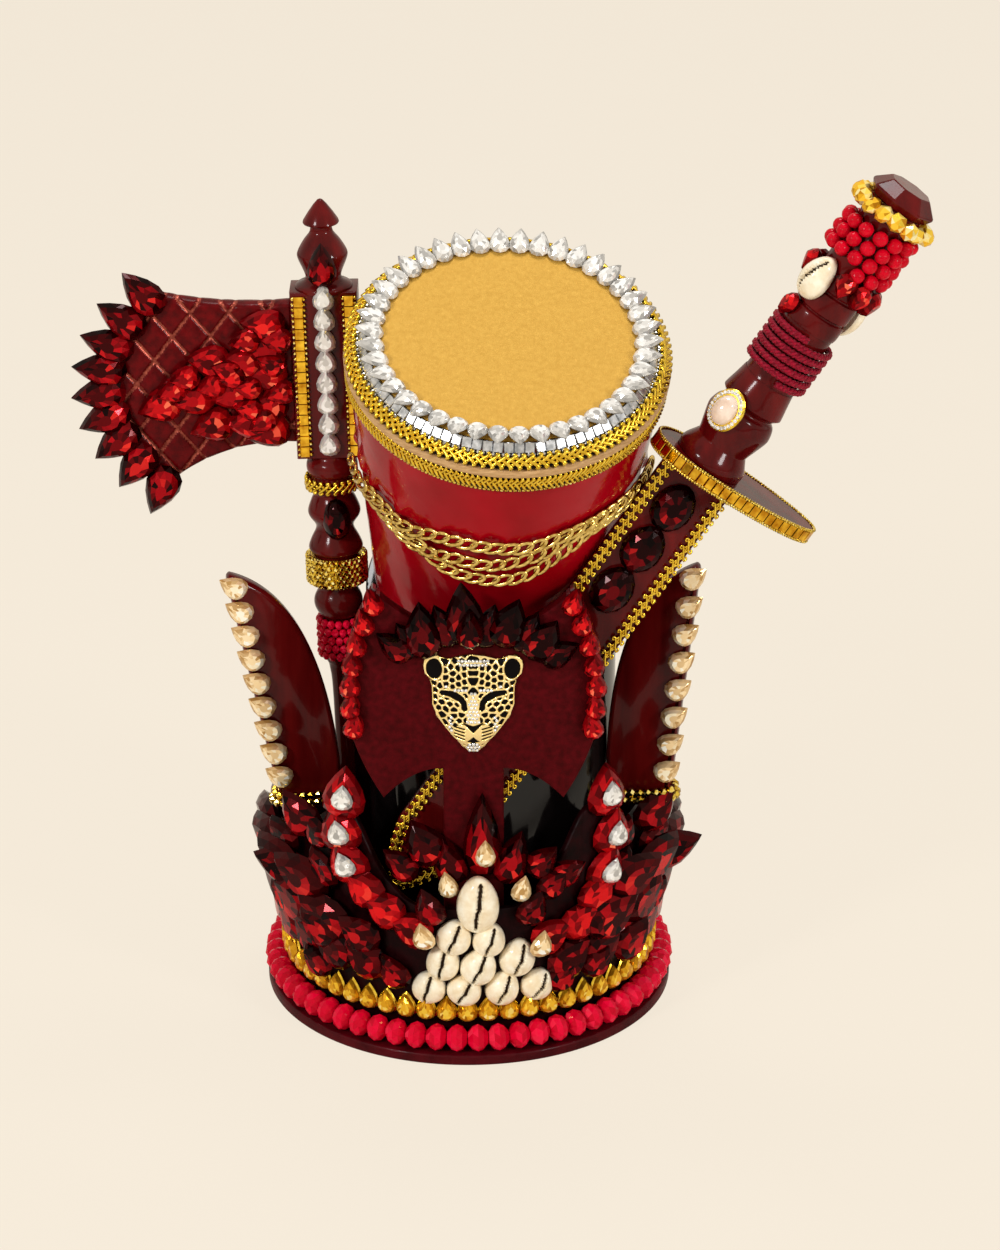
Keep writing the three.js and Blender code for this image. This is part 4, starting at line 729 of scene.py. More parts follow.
# %% [markdown]
# The drum leans forwards by 25 degrees on a glossy black post. The post's top is the drum's foot
# plane, so the height of its rim is worked out from that plane for every angle at once. A boolean
# cut at a slant would do the same; moved rings keep the faces even.
# %% Post under the drum
DRUM = turn("x", 25) @ turn("y", 3)
DRUM_FOOT = np.array([11, 8.6, 204.8])
# Radius and height of the moulded foot; radius and rise off the drum's foot plane of the top
POST_FOOT = [(0, ON_BOARD), (60.4, ON_BOARD), (61, 6.6), (61, 9.6), (60.7, 10.9), (59.4, 13.8), (59, 15.5)]
POST_TOP = [(59, -0.8), (58.2, 0), (0, 0)]


def drum_plane(x, y):
    """Height of the plane through the drum's foot, square to the drum's axis."""
    normal = DRUM[:, 2]
    return DRUM_FOOT[2] - (normal[0] * (x - DRUM_FOOT[0]) + normal[1] * (y - DRUM_FOOT[1])) / normal[2]


def post_ring(radius):
    """x and y of a ring round the post's axis."""
    a = np.radians(even_turns(144))
    return DRUM_FOOT[0] + radius * np.sin(a), -radius * np.cos(a)


rows = [points_of(*post_ring(radius), height) for radius, height in POST_FOOT]
rows += [points_of(*post_ring(radius), drum_plane(*post_ring(radius)) + rise) for radius, rise in POST_TOP]
post = grid(np.stack(rows), wrap_columns=True)
crease(piece("gloss_post", [(*post, black_gloss)], "core_post"))

# %% [markdown]
# The drum's shell is wrapped in red film: its lower edge is gathered, which a few sines round the
# rim give, strongest at the edge and fading upwards. Everything on the drum is drawn upright in
# the drum's own frame and then tipped with it. A cloth simulation could gather the film too, but
# sines can be matched to what the photograph shows.
# %% Drum body
FILM_EDGE = 91.6


def on_drum(shells):
    """Shells drawn upright over the origin, moved to the drum's foot and tipped with it."""
    return moved(shells, DRUM, DRUM_FOOT)


def film_folds(a, h):
    """Gathers: sines of several counts round the axis, fading away from the film's lower edge."""
    edge = np.exp(-(((h - 92.5) / 5.5) ** 2)) * (h > FILM_EDGE)
    gathers = 0.75 * np.sin(23 * a + 0.9 * np.sin(5 * a)) + 0.5 * np.sin(41 * a + 1.3) + 0.4 * np.sin(9 * a)
    slack = 0.22 * np.sin(7 * a + 0.09 * h) * np.exp(-(((h - 45) / 30) ** 2))
    return edge * gathers + slack * (h > 2)


foot = rounded([(54.3, 0.3), (55, 1.4), (57.6, 22), (60, 44), (61.9, 62), (63.6, 80), (64.5, 91)], 5)
film = rounded([(66.2, 91.7), (66.7, 93), (66.6, 96), (67.4, 104), (68.8, 118), (69.9, 130), (70, 138),
                (70, 146.8)], 6)
body = turned([(0, 0.3), *foot, (64.6, FILM_EDGE), *film, (70, 147), (63, 154), (0, 154)], 300, film_folds)
crease(piece("drum_shell", on_drum([(*body, drum_red)]), "drum_body"), 55)

# %% [markdown]
# Gimp is a braid of stiff cords that swing across the strip and pass over and under each other.
# Each cord is a sine across the route; its lift follows from the same angle, so that one cord is
# up where the other is down. A bump pattern would look right from the front only, and here the
# braid's edge is seen, so the cords are modelled.
# %% Gimp braid
def gimp(route, width, loops, thick, curl, strands=2, closed=True, steps=12):
    """Sine cords along a route (places, across, out): across is sin w, and two cords lift by cos w,
    three plaited ones by sin 2w; a curl moves each place by sin 2w, which rounds the cord into loops."""
    t = np.linspace(0, 1, loops * steps + (not closed), endpoint=not closed)
    shells = []
    for strand in range(strands):
        w = 2 * np.pi * (loops * t + strand / strands)
        at, across, out = route(t + curl / loops * np.sin(2 * w))
        swing = (width / 2 - thick / 2) * np.sin(w)
        lift = thick * (0.95 + 0.42 * (np.cos(w) if strands == 2 else np.sin(2 * w)))
        path = at + across * swing[:, None] + out * lift[:, None]
        shells.append((*tube(path, thick * 0.56, out, 6, closed), gilt))
    return shells


def ring_route(radius, height, slope=0.0):
    """A route round an upright axis; slope turns the strip inwards from upright."""
    def route(t):
        """Places, across and out at shares t of the way round."""
        out, up = around(360 * t), np.array([0, 0, 1.0])
        c, s = np.cos(np.radians(slope)), np.sin(np.radians(slope))
        return around(360 * t, radius, height), up * c - out * s, out * c + up * s
    return route


# %% [markdown]
# Three trims run round the drum's head: a broad braid on the rim's slope, a narrower one with a
# line of beads below, and a pale wooden hoop between them. The braids lie on a black strip of
# painted shade that shows in the gaps between their cords. One helper makes both braids; a route
# tells it which way each strip lies.
# %% Braid, lower trim and hoop
# A black ring under the broad braid: painted shade in the gaps between its cords.
painted_shade_strip = turned([(66.4, 151.2), (71.4, 146.9), (72, 147.5), (67, 151.8)], 160, ring=True)
braid = gimp(ring_route(69.5, 149.2, 45), 8.2, 38, 1.6, curl=0.14, strands=3)
piece("rim_braid", on_drum([(*painted_shade_strip, black_velvet), *braid]), "drum_braid", smooth=True)
# The same painted shade under the lower braid.
painted_shade_strip = turned([(69.9, 142), (69.9, 131.6), (70.5, 131.6), (70.5, 142)], 160, ring=True)
lower = gimp(ring_route(70.6, 137.8), 8.4, 62, 1.25, curl=0.12, strands=3)
turns = even_turns(230)
lower.append((*seated(seed_bead, (1.9, 1.9, 1.9), around(turns, 70.3, 132.4), around(turns)), gilt_facets))
piece("neck_trim", on_drum([(*painted_shade_strip, black_velvet), *lower]), "drum_lower_trim", smooth=True)
hoop = turned(rounded([(70.4, 143), (72.4, 142.1), (73.4, 143.4), (73.4, 145.4), (72.4, 146.6), (70.4, 146.4)], 4),
              160, ring=True)
piece("wood_hoop", on_drum([(*hoop, pale_wood)]), "drum_hoop", smooth=True)

# %% [markdown]
# Small mirror tiles follow the sloping shoulder, with a line of clear beads at their outer edge.
# Each tile is tilted by a hair, at random, because hand-laid tiles never mirror the same thing.
# %% Mirror tiles
TILE_COUNT = 88
UP = np.array([0, 0, 1.0])
square = faceted([(1, 0, 0.5), (1, 0.7, 0.5), (0.86, 1, 0.5)], 4,
                 lambda a: (np.sqrt(2) * np.sin(a), np.sqrt(2) * np.cos(a)))
turns = even_turns(TILE_COUNT)
tilt = np.random.default_rng(3).normal(0, 0.04, (TILE_COUNT, 3))
tiles = seated(square, (4.4, 5.0, 1.2), around(turns, 64.6, 152.8), unit(around(turns) + UP) + tilt)
line_turns = even_turns(190)
beads = seated(seed_bead, (2.0, 2.0, 1.9), around(line_turns, 67.3, 150.9), unit(around(line_turns) + UP))
piece("mirror_tiles", on_drum([(*tiles, silver_mirror), (*beads, clear)]), "drum_mirror_band")

# %% [markdown]
# The skin is one round sheet of gilded leather, stretched, so it is flat but for a slight dish.
# The ring of clear crystals lies on its edge, with the tips outwards and a little raised. A flat
# disc would do, but even so slight a dish moves the reflections as taut leather does.
# %% Skin and crystals
dish = [(0, 155.0), (12, 155.02), (25, 155.1), (38, 155.2), (50, 155.35), (57, 155.5), (61, 155.5), (62.6, 155.1),
        (62.7, 154.5)]
under = [(62.3, 154.2), (55, 154.2), (0, 154.2)]
skin = piece("leather_skin", on_drum([(*turned(dish + under, 160), gold_leather)]), "drum_skin")
crease(skin, 50)

turns = even_turns(42) + 4
rise = np.radians(14)
lie = UP * np.cos(rise) - around(turns) * np.sin(rise)
crystals = seated(pear, (9.4, 13.8, 3.6), around(turns, 62.6, 157.0), lie, up=around(turns))
piece("drum_crystals", on_drum([(*crystals, clear)]), "drum_gem_ring")

# %% [markdown]
# A curb chain hangs in three swags. Its links are flattened rings, each turned about the chain so
# that it lies half on the next. The path is a smooth curve through a few angles and heights. A
# simulation could let it fall, but it is fastened in several places, so the curve is drawn as it
# hangs.
# %% Chain: its links and its path
LINK_SPACING, LINK_LAY = 6.1, -26
# Angle and height, as a share of the film's height, of points along each swag
CHAIN_SWAGS = [[(-80, .93), (-56, .97), (-37, .955), (-20, .99), (7, .985), (20, 1.02), (36, 1.05), (56, 1.05),
                (75, 1.02)],
               [(-80, .93), (-56, .95), (-34, .84), (-18, .86), (-4, .85), (13, .92), (29, 1.01), (56, 1.05),
                (75, 1.02)],
               [(-80, .93), (-56, .95), (-34, .88), (-23, .78), (-10, .745), (3, .75), (14, .8), (36, 1),
                (75, 1.02)]]


def way_along(path):
    """How far each point of a path is from its start: the sum of the steps before it."""
    return np.concatenate([[0], np.cumsum(np.linalg.norm(np.diff(path, axis=0), axis=1))])


def resampled(path, count):
    """The same path with its points spaced evenly along it."""
    way = way_along(path)
    return np.stack([np.interp(np.linspace(0, way[-1], count), way, axis) for axis in path.T], -1)


def chain_link(sides=14, wire=6, long=4.9, wide=2.0, thick=1.05):
    """An oval ring: (long + r cos v) cos u, (wide + r cos v) sin u, 0.8 r sin v, with r the wire's radius."""
    u = np.linspace(0, 2 * np.pi, sides, endpoint=False)[:, None]
    v = np.linspace(0, 2 * np.pi, wire, endpoint=False)[None, :]
    reach = thick * np.cos(v)
    points = points_of((long + reach) * np.cos(u), (wide + reach) * np.sin(u), 0.8 * thick * np.sin(v))
    return grid(points, wrap_rows=True, wrap_columns=True)


def chain_path(swag):
    """The swag's smooth curve, kept just off the drum's shell, with a point for each link."""
    turns, share = rounded(swag, 12).T
    height = share * 92 + 2.5
    radius = np.interp(height, [0, 60, 92, 131], [55, 61.5, 66.6, 70]) + 2.4 + 0.9 * (height < 91)
    path = around(turns, np.maximum(radius, 67.8), height)
    return resampled(path, int(way_along(path)[-1] / LINK_SPACING))


# %% [markdown]
# Each link needs its own frame: its long way follows the chain but slants across it, and its
# flat side is turned about the chain by the lay, which is what makes a curb chain lie flat.
# %% Chain
link = chain_link()
c, s = np.cos(np.radians(LINK_LAY)), np.sin(np.radians(LINK_LAY))
chain_shells = []
for swag in CHAIN_SWAGS:
    path = chain_path(swag)
    along = unit(np.gradient(path, axis=0))
    out = unit(path * (1, 1, 0))
    across = np.cross(out, along)
    long_way = unit(along * 0.92 + across * 0.38)
    leant = out * c - across * s
    flat_way = unit(leant - long_way * np.sum(leant * long_way, -1, keepdims=True))
    frames = np.stack([long_way, np.cross(flat_way, long_way), flat_way], -1)
    chain_shells.append((*copies(link, frames, path), pale_gilt))
piece("curb_chain", on_drum(chain_shells), "drum_chain", smooth=True)

# %% [markdown]
# The labrys is a double-axe plate on a shaft. Its outline is made of parabolas, two end points and
# one handle each, the same on both sides, and the plate's rim is softly bevelled. A strip of
# mirror tiles lines the dip in its upper edge. It could be traced point by point; parabolas keep
# it smooth and alike on both sides.
# %% Labrys plate
HORN, WAIST = (46, 233), (41.5, 128.5)
EDGE_HANDLE = (74.25, 180.75)


def parabola(start, handle, end, t):
    """A parabola from start to end at shares t: (1-t)(1-t) start + 2t(1-t) handle + t t end."""
    start, handle, end = (np.array(p, float) for p in (start, handle, end))
    t = t[..., None]
    return (1 - t) ** 2 * start + 2 * t * (1 - t) * handle + t**2 * end


def curve(start, handle, end, steps):
    """The parabola in even steps, without its last point, so that curves can follow each other."""
    return parabola(start, handle, end, np.linspace(0, 1, steps, endpoint=False))


right = np.concatenate([[(14, ON_BOARD)], [(14, 143.5)], curve((14.2, 143.5), (27.75, 143.5), WAIST, 12),
                        curve(WAIST, EDGE_HANDLE, HORN, 36), curve(HORN, (23, 210), (0, 210), 14)])
labrys_outline = np.concatenate([right, [(0, 210)], right[::-1] * (-1, 1)])
labrys = plate(labrys_outline + (LABRYS_MIDDLE, 0), -67.7, -LABRYS_FRONT, 1.1)
dip_line = curve((45.2, 232.2), (38, 222), (30, 216.5), 8)
strip = np.concatenate([dip_line, dip_line * (-1, 1)])
strip_place = points_of(strip[:, 0] + LABRYS_MIDDLE, -71.7, strip[:, 1])
strip_out = points_of(-0.55 * np.sign(strip[:, 0]), 0, 0.83)
strip_tiles = seated(square, (6.2, 2.1, 0.9), strip_place, strip_out, up=FRONT, roll=90)
crease(piece("double_axe", [(*labrys, satin_maroon), (*strip_tiles, silver_mirror)], "labrys_plate"))

# %% [markdown]
# Seven rubies stand along each cutting edge, tips outwards, and a crest of garnets crowns the
# plate: a tall one in the middle, a second tall one behind it and the others spread like a fan.
# The rubies take their places from the edge's own curve and follow it if it changes; the crest has
# no rule, so it is a list.
# %% Edge rubies and crest
edge = curve(HORN, EDGE_HANDLE, WAIST, 200)
for word, side in (("left", -1), ("right", 1)):
    i = np.arange(7)
    spot = edge[((0.05 + 0.098 * i) * 200).astype(int)]
    place = front_places(LABRYS_MIDDLE + side * (spot[:, 0] - LABRYS_MIDDLE), LABRYS_FRONT + GAP, spot[:, 1])
    stones = seated(pear, (10, 14.8, 5), place, FRONT, side * (16 - 5 * i), lean=4)
    piece("edge_rubies_" + word, [(*stones, ruby)], "labrys_gems_" + word)

# x, height, roll, width, length, depth and lean of each stone; the last one stands behind the middle one
crest = np.array([(-33, 206.5, -50, 14, 21, 6, 4), (-20, 214.5, -6, 18, 30, 6.5, 5), (-1, 222.5, -5, 19, 34, 6, 6),
                  (19.5, 218, 20, 18, 27, 6.5, 5), (35, 209.5, 32, 18, 24, 6.2, 4), (42.5, 203, 60, 14, 20, 5.6, 3),
                  (1.5, 217.5, 1, 14, 23, 12.5, 3)], float)
# The same for the lower layer, which fills the gaps between them
behind = np.array([(-10.5, 216, -22, 14, 23, 4.4, 2), (10, 216, 16, 14, 23, 4.4, 2), (27.5, 213, 28, 14, 22, 4.4, 2),
                   (-27, 209, -30, 13, 20, 4.4, 2)], float)
layers = [seated(pear, stones[:, 3:6], front_places(stones[:, 0], LABRYS_FRONT + GAP, stones[:, 1]), FRONT,
                 stones[:, 2], lean=stones[:, 6]) for stones in (crest, behind)]
piece("garnet_crest", [(*layer, deep_garnet) for layer in layers], "labrys_crest")

# %% [markdown]
# The brooch is a big cat's head: pierced gold over black enamel. Its face is a disc of rays
# stretched to the head's outline and domed. Rosettes come from scattered points: where the
# nearest and the second nearest are almost equally far away there is a gold ridge, and inside a
# cell lies the enamel. Eyes, nose and muzzle are drawn as soft shapes over that net.
# %% Cat's head brooch: outline and scattered points
HEAD_RAYS, HEAD_RINGS = 360, 110
# Half of the head from the middle of the brow down to the chin, as shares of its width and height
half_head = np.array([(0, .5), (.12, .49), (.22, .46), (.27, .457), (.36, .495), (.434, .494), (.484, .45), (.5, .39),
                      (.484, .314), (.434, .25), (.415, .19), (.41, .1), (.41, 0), (.37, -.12), (.296, -.22),
                      (.22, -.32), (.16, -.38), (.11, -.443), (.046, -.487), (0, -.497)])
head = np.concatenate([half_head, half_head[-2:0:-1] * (-1, 1)])
head_ring = resampled(np.concatenate([head, head[:1]]), HEAD_RAYS + 1)[:-1]
share = np.linspace(0, 1, HEAD_RINGS)[:, None]
x, y = np.moveaxis(head_ring[None] * share[..., None], -1, 0)

NEAREST = 0.07
rng = np.random.default_rng(11)
sites = rng.uniform((0.02, -0.5), (0.5, 0.5), (105, 2))
for _ in range(20):
    apart = sites[:, None] - sites[None]
    reach = np.linalg.norm(apart, axis=-1)[..., None] + 1e-6
    too_near = (reach < NEAREST) & (reach > 1e-5)
    push = np.where(too_near, apart / reach * (NEAREST - reach) * 0.3, 0).sum(1)
    sites = np.clip(sites + push, (0.028, -0.5), (0.5, 0.5))
print("points scattered over half the face:", len(sites))

# %% [markdown]
# Every mark on the face is a distance with a soft edge: to a point for a cell, to a bent line for
# an eye, to an ellipse for an ear. Gold is where a rim or a ridge is near and no hole is. Real
# pierced work is sawn out, but hundreds of holes make a heavy mesh, so here they are a step in
# height and a dark enamel.
# %% Cat's head brooch: where it is gold
def soft(distance, width):
    """1 inside a shape, 0 outside, with an edge of the given width."""
    return smooth_step(0.5 - distance / width)


def to_line(x, y, corners):
    """Distance to a bent line: the least over its segments of the way to the nearest point."""
    place = np.stack([x, y], -1)[..., None, :]
    start, way = np.array(corners[:-1]), np.diff(np.array(corners), axis=0)
    along = np.clip(np.sum((place - start) * way, -1) / np.sum(way * way, -1), 0, 1)
    return np.linalg.norm(place - start - along[..., None] * way, axis=-1).min(-1)


def gold_of(x, y):
    """1 where the face is gold: the net and the rims, less the eyes, ears, nose, mouth and whisker lines."""
    s = np.abs(x)
    far = np.sqrt((s[..., None] - sites[:, 0]) ** 2 + (y[..., None] - sites[:, 1]) ** 2)
    far.sort(-1)
    net = soft(far[..., 1] - far[..., 0] - 0.019, 0.012)
    eye = to_line(s, y, [(.31, .127), (.24, .124), (.18, .104), (.12, .072), (.09, .03), (.084, -.02)])
    eye = eye - .012 * np.exp(-(((s - .17) / .07) ** 2))
    ear = np.hypot((s - .388) / .08, (y - .365) / .098) - 1
    nose = np.maximum(y + .2 - .35 * s, -.272 + s - y)
    mouth = np.maximum(s - .06 * (-.318 - y) / .055, -.378 - y)
    bars = np.min([to_line(s, y, [(.09, h), (.185, h + .018)]) for h in (-.235, -.272, -.31, -.35)], axis=0)
    bridge = soft(s - .045 - .1 * np.clip(.1 - y, 0, .3), .012) * soft(y - .12, .02) * soft(-y - .2, .02)
    cheek = soft(np.hypot((s - .1) / .12, (y + .3) / .11) - 1, .1)
    eye_rim, ear_rim = soft(np.abs(eye - .034) - .009, .01), soft(np.abs(ear - .13) - .12, .1)
    rims = np.maximum.reduce([eye_rim, ear_rim, net, bridge, cheek])
    holes = np.maximum.reduce([soft(eye - .023, .008), soft(ear, .08), soft(nose, .012), soft(mouth, .01),
                               soft(bars - .0075, .006)])
    edge = smooth_step(1 - to_line(x, y, head[::2]) / .03)
    return np.maximum(rims * (1 - holes), edge)


# %% [markdown]
# The face is drawn in shares of its own width and height. One function turns them, and a height
# off the plate, into places, so that the gold surface and the stones set on it agree.
# %% Cat's head brooch: the domed face
BROOCH_WIDE, BROOCH_TALL, BROOCH_HEIGHT = 46, 49, 177


def face_dome(x, y, share):
    """Dome over the outline with a longer muzzle: 1 - share^4, plus a bell over the nose."""
    muzzle = np.exp(-((x / .2) ** 2) - ((y + .2) / .28) ** 2)
    return .5 + 2.6 * (1 - share**4) + 1.3 * muzzle * (1 - share**6)


def on_face(x, y, lift):
    """Places on the plate's front, from shares of the head's size and a height off the plate."""
    return points_of(LABRYS_MIDDLE + x * BROOCH_WIDE, -(LABRYS_FRONT + GAP) - lift, BROOCH_HEIGHT + y * BROOCH_TALL)


ridge = 0.7 * gold_of(x, y) * (share < 0.999)
face_points = on_face(x, y, face_dome(x, y, share) + ridge)
face = grid(face_points, wrap_columns=True)
back_points = face_points[-1] * (1, 0, 1) - (0, LABRYS_FRONT + GAP, 0)
back_rim, back_faces = grid(np.stack([face_points[-1], back_points]), wrap_columns=True)
back_cap = [np.arange(HEAD_RAYS)[None] + HEAD_RAYS]
print("ridges up to", round(float(ridge.max()), 2), "mm high")

# %% [markdown]
# Clear stones are set like pave: a close pattern of rows, each moved by half a step, of which
# only those on the nose's bridge, the brow, the brow lines, the chin and the cheeks are kept.
# %% Cat's head brooch: pave stones
pave_x, pave_y = np.meshgrid(np.arange(-10, 11) * 0.036, np.arange(0, 28) * 0.035 - 0.47)
pave_x = pave_x + 0.018 * (np.arange(28)[:, None] % 2)
ax = np.abs(pave_x)
nose_bridge = (ax < .03 + .15 * np.clip(.1 - pave_y, 0, .3)) & (pave_y < .13) & (pave_y > -.17)
brow = np.hypot(pave_x / .16, (pave_y - .43) / .045) < 1
brow_lines = (np.abs(pave_y - .165 - .1 * (ax - .1)) < .016) & (ax > .07) & (ax < .29)
chin = np.hypot(pave_x, pave_y + .44) < .06
cheeks = (np.abs(ax - .22) < .016) & (np.abs(pave_y + .2) < .09)
keep = nose_bridge | brow | brow_lines | chin | cheeks
px, py = pave_x[keep], pave_y[keep]
ring_turn = np.arctan2(*head_ring.T)
order = np.argsort(ring_turn)
edge_reach = np.interp(np.arctan2(px, py), ring_turn[order], np.hypot(*head_ring.T)[order])
lift = face_dome(px, py, np.clip(np.hypot(px, py) / edge_reach, 0, 1)) + 0.6
pave = seated(seed_bead, (1.6, 1.6, 1.3), on_face(px, py, lift), FRONT)
print("pave stones:", len(px))

# %% [markdown]
# The metal reads the same gold value from the mesh, so the colour and the ridges fall together:
# where it is high the surface is gold and metallic, and where it is low it is black enamel.
# %% Cat's head brooch: its finish and the piece
pierced_gilt, tree, shader = blank_finish("pierced_gilt", Roughness=0.24, Specular_IOR_Level=0.05)
gold_value = attribute_of(tree, "gold")
gold_stops = [(0.4, (0.003, 0.002, 0.002)), (0.55, (0.8, 0.55, 0.14)), (1.0, (1.0, 0.8, 0.38))]
tree.links.new(ramp_of(tree, gold_value, gold_stops), shader.inputs["Base Color"])
tree.links.new(ramp_of(tree, gold_value, [(0.42, (0, 0, 0)), (0.55, (1, 1, 1))]), shader.inputs["Metallic"])
tree.links.new(bump_of(tree, noise_of(tree, 0.5), 0.03, 0.6), shader.inputs["Normal"])
brooch = piece("cat_brooch", [(*face, pierced_gilt), (back_rim, back_faces + back_cap, gilt), (*pave, clear)],
               "labrys_brooch", smooth=True)
co = np.empty(len(brooch.data.vertices) * 3, np.float32)
brooch.data.vertices.foreach_get("co", co)
co = co.reshape(-1, 3).astype(float) / MM
gold = gold_of((co[:, 0] - LABRYS_MIDDLE) / BROOCH_WIDE, (co[:, 2] - BROOCH_HEIGHT) / BROOCH_TALL)
brooch.data.attributes.new("gold", "FLOAT", "POINT").data.foreach_set("value", gold.astype(np.float32))
print("share of the face in gold:", round(float((gold > 0.5).mean()), 2))

# %% [markdown]
# Each wing is a carved fin with a straight outer edge that carries champagne pears, and an inner
# edge that curves in to the tip. The fin stands turned a little, so it is made flat and turned,
# and so are its pears and the two rows of gold beads that bend round its foot.
# %% Wings
WING_HEIGHT = 122
BEAD_HEIGHT = 5.5


def wing_outline(side):
    """The fin's outline in x and z: straight foot and outer edge, a round tip, a hollow inner edge."""
    flat = np.concatenate([[(0, 0), (27.5, 0)], curve((28, 0.5), (40, 61), (51, 117), 24),
                           curve((51, 117), (52, 121.5), (49.5, WING_HEIGHT), 5),
                           curve((49.5, WING_HEIGHT), (9, 108), (0, 24), 36), curve((0, 24), (0, 12), (0, 0.1), 6)])
    return flat * (side, 1)


def foot_string(side):
    """A string round the fin's foot: along its front, half round its outer end and back again."""
    end, reach, bow = side * 24.0, 8.1, np.radians(np.linspace(-90, 90, 13))
    half_round = np.column_stack([end + side * reach * np.cos(bow), reach * np.sin(bow)])
    route = np.concatenate([[(side * 4.0, -reach)], half_round, [(side * 14.0, reach)]])
    return resampled(np.column_stack([route, np.full(len(route), BEAD_HEIGHT)]), 15)


for word, side, count, steeper in (("left", -1, 9, 0), ("right", 1, 8, 5)):
    wing_turn = turn("z", -side * 12) @ turn("y", -side * steeper), (3.5 + side * 64.5, -24, 101.8)
    fin = plate(wing_outline(side), 5, -5, 2.6)
    crease(piece("fin_" + word, moved([(*fin, brown_lacquer)], *wing_turn), "wing_" + word), 50)
    height = WING_HEIGHT * (0.155 + 0.8 * np.arange(count) / (count - 1))
    x = side * (28 + 24 * height / WING_HEIGHT - 1.4)
    pears = seated(pear, (11, 15, 5), front_places(x, 5.3, height + 1.5), FRONT, side * 56, lean=2)
    piece("wing_pears_" + word, moved([(*pears, champagne)], *wing_turn), "wing_gems_" + word)
    string = foot_string(side)
    low = seated(seed_bead, (4.2, 4.2, 3.8), string - (0, 0, 0.4), UP)
    high = seated(seed_bead, (4.2, 4.2, 3.8), string * (0.97, 0.93, 1) + (0.4, 0, 3.2), UP)
    shells = [(*low, gilt_facets), (*high, gilt_facets), (*tube(string, 0.8, UP, 6), gilt)]
    piece("foot_beads_" + word, moved(shells, *wing_turn), "wing_beads_" + word)

# %% [markdown]
# The axe's shaft is turned like a stair baluster: coves and beads follow one profile, the block in
# the middle is squared and keeps its sharp corners, and a cone sits on top. Heights are counted
# from just above the coral beads, and the whole axe then leans a little. A round profile can't
# give the square block, so that is a plate between two turnings.
# %% Axe shaft: turned parts
AXE, AXE_FOOT = turn("y", -1.6), np.array([-61, 0, 196.0])
SHAFT_END, SHAFT_TIP = -190.1, 197.5
BLOCK_LOW, BLOCK_HIGH, BLOCK_HALF, BLOCK_FRONT = 75, 156, 15.5, 10


def on_axe(shells):
    """Shells moved to the axe's place and leant with it."""
    return moved(shells, AXE, AXE_FOOT)


lower_shaft = rounded([(4.4, SHAFT_END), (4.4, -120), (4.6, -50), (5.8, -33), (7.1, -28), (7.2, -8.5), (9.2, -6),
                       (11.3, -1.5), (11.2, 2.5), (9.2, 7), (9.6, 9.8), (10.2, 12), (10.2, 24.5), (11.4, 25.8),
                       (12.7, 28), (11.4, 32), (9, 37), (9.2, 40), (11.8, 44), (12.2, 47), (10.4, 52), (9.1, 55),
                       (10.1, 57.6), (10.1, 64), (11.2, 65.4), (12, 68), (11.6, 71), (9.6, 74), (9.2, 76)], 4)
cap_shaft = rounded([(12.8, 155), (13, 157), (9.2, 159.2), (8.2, 161), (9, 164), (11.4, 170), (11.2, 173),
                     (8.4, 178), (5.6, 181.6), (5, 184), (5.2, 185.4)], 4)
cone = [(8, 186), (8.3, 186.6), (8, 187.6), (5.6, 191.4), (3, 195), (1.2, 197)]
block_corners = np.array([(-1, BLOCK_LOW), (1, BLOCK_LOW), (1, BLOCK_HIGH), (-1, BLOCK_HIGH)]) * (BLOCK_HALF, 1)
block = plate(block_corners, BLOCK_FRONT, -BLOCK_FRONT, 1.4)
shaft_shells = [turned([(0, SHAFT_END), *lower_shaft, (0, 76)], 72), block,
                turned([(0, 155), *cap_shaft, *cone, (0, SHAFT_TIP)], 72)]
print("the shaft is", SHAFT_TIP - SHAFT_END, "mm long")

# %% [markdown]
# On the block's front two strips of amber mirror tiles run between lines of tiny beads, and a
# column of clear pears stands between the strips. A garnet and a cabochon sit above and below.
# They are in the shaft's own mesh, because the solid model has no piece of their own for them.
# %% Axe shaft: its trims
garnet_pear = seated(pear, (13.5, 22, 6), [(0, -9.2, 169.5)], FRONT, lean=4)
cabochon = seated(oval, (13, 21, 6), [(1.5, -8.6, 45)], FRONT)
strip_x, tile_rise = np.array([-11.5, 11.5]), np.arange(15) * 5.2 + 79
tile_places = points_of(strip_x[:, None], -10.1, tile_rise).reshape(-1, 3)
tilt = np.random.default_rng(5).normal(0, 0.04, tile_places.shape) + FRONT
strips = seated(square, (4.4, 5, 1.2), tile_places, tilt)
line_x, bead_rise = np.array([-14.2, -8.8, 8.8, 14.2]), np.arange(30) * 2.6 + 77.8
edge_beads = seated(seed_bead, (1.7, 1.7, 1.7), points_of(line_x[:, None], -10.6, bead_rise).reshape(-1, 3), FRONT)
shells = [(*shell, brown_lacquer) for shell in shaft_shells]
shells += [(*garnet_pear, garnet), (*cabochon, deep_garnet), (*strips, amber_mirror), (*edge_beads, gilt_facets)]
crease(piece("axe_baluster", on_axe(shells), "axe_shaft"), 35)

column = seated(pear, (10, 13.2, 4.4), front_places(0, BLOCK_FRONT + GAP, 78.5 + (np.arange(8) + 0.5) * 10.1), FRONT)
piece("axe_crystals", on_axe([(*column, clear)]), "axe_clear_gems")

# %% [markdown]
# Three bands are wound round the lower shaft: a looped leaf trim, a gold sleeve covered in rows of
# small beads, each row moved by half a bead, and coral beads in the same brick pattern. They look
# wound, but each closes on itself, so rings are used and not a helix.
# %% Axe shaft: wound bands
def bead_row(count, radius, height, size, shift=0.0, out=None):
    """A ring of small beads; shift moves it round by a share of the way to the next bead."""
    turns = even_turns(count) + shift * 360 / count
    return seated(seed_bead, size, around(turns, radius, height), around(turns) if out is None else out)


leaf = gimp(ring_route(10.9, 60.7), 7, 11, 1.35, curl=0.2, steps=20)
piece("axe_leaf_trim", on_axe(leaf), "axe_gold_trim", smooth=True)

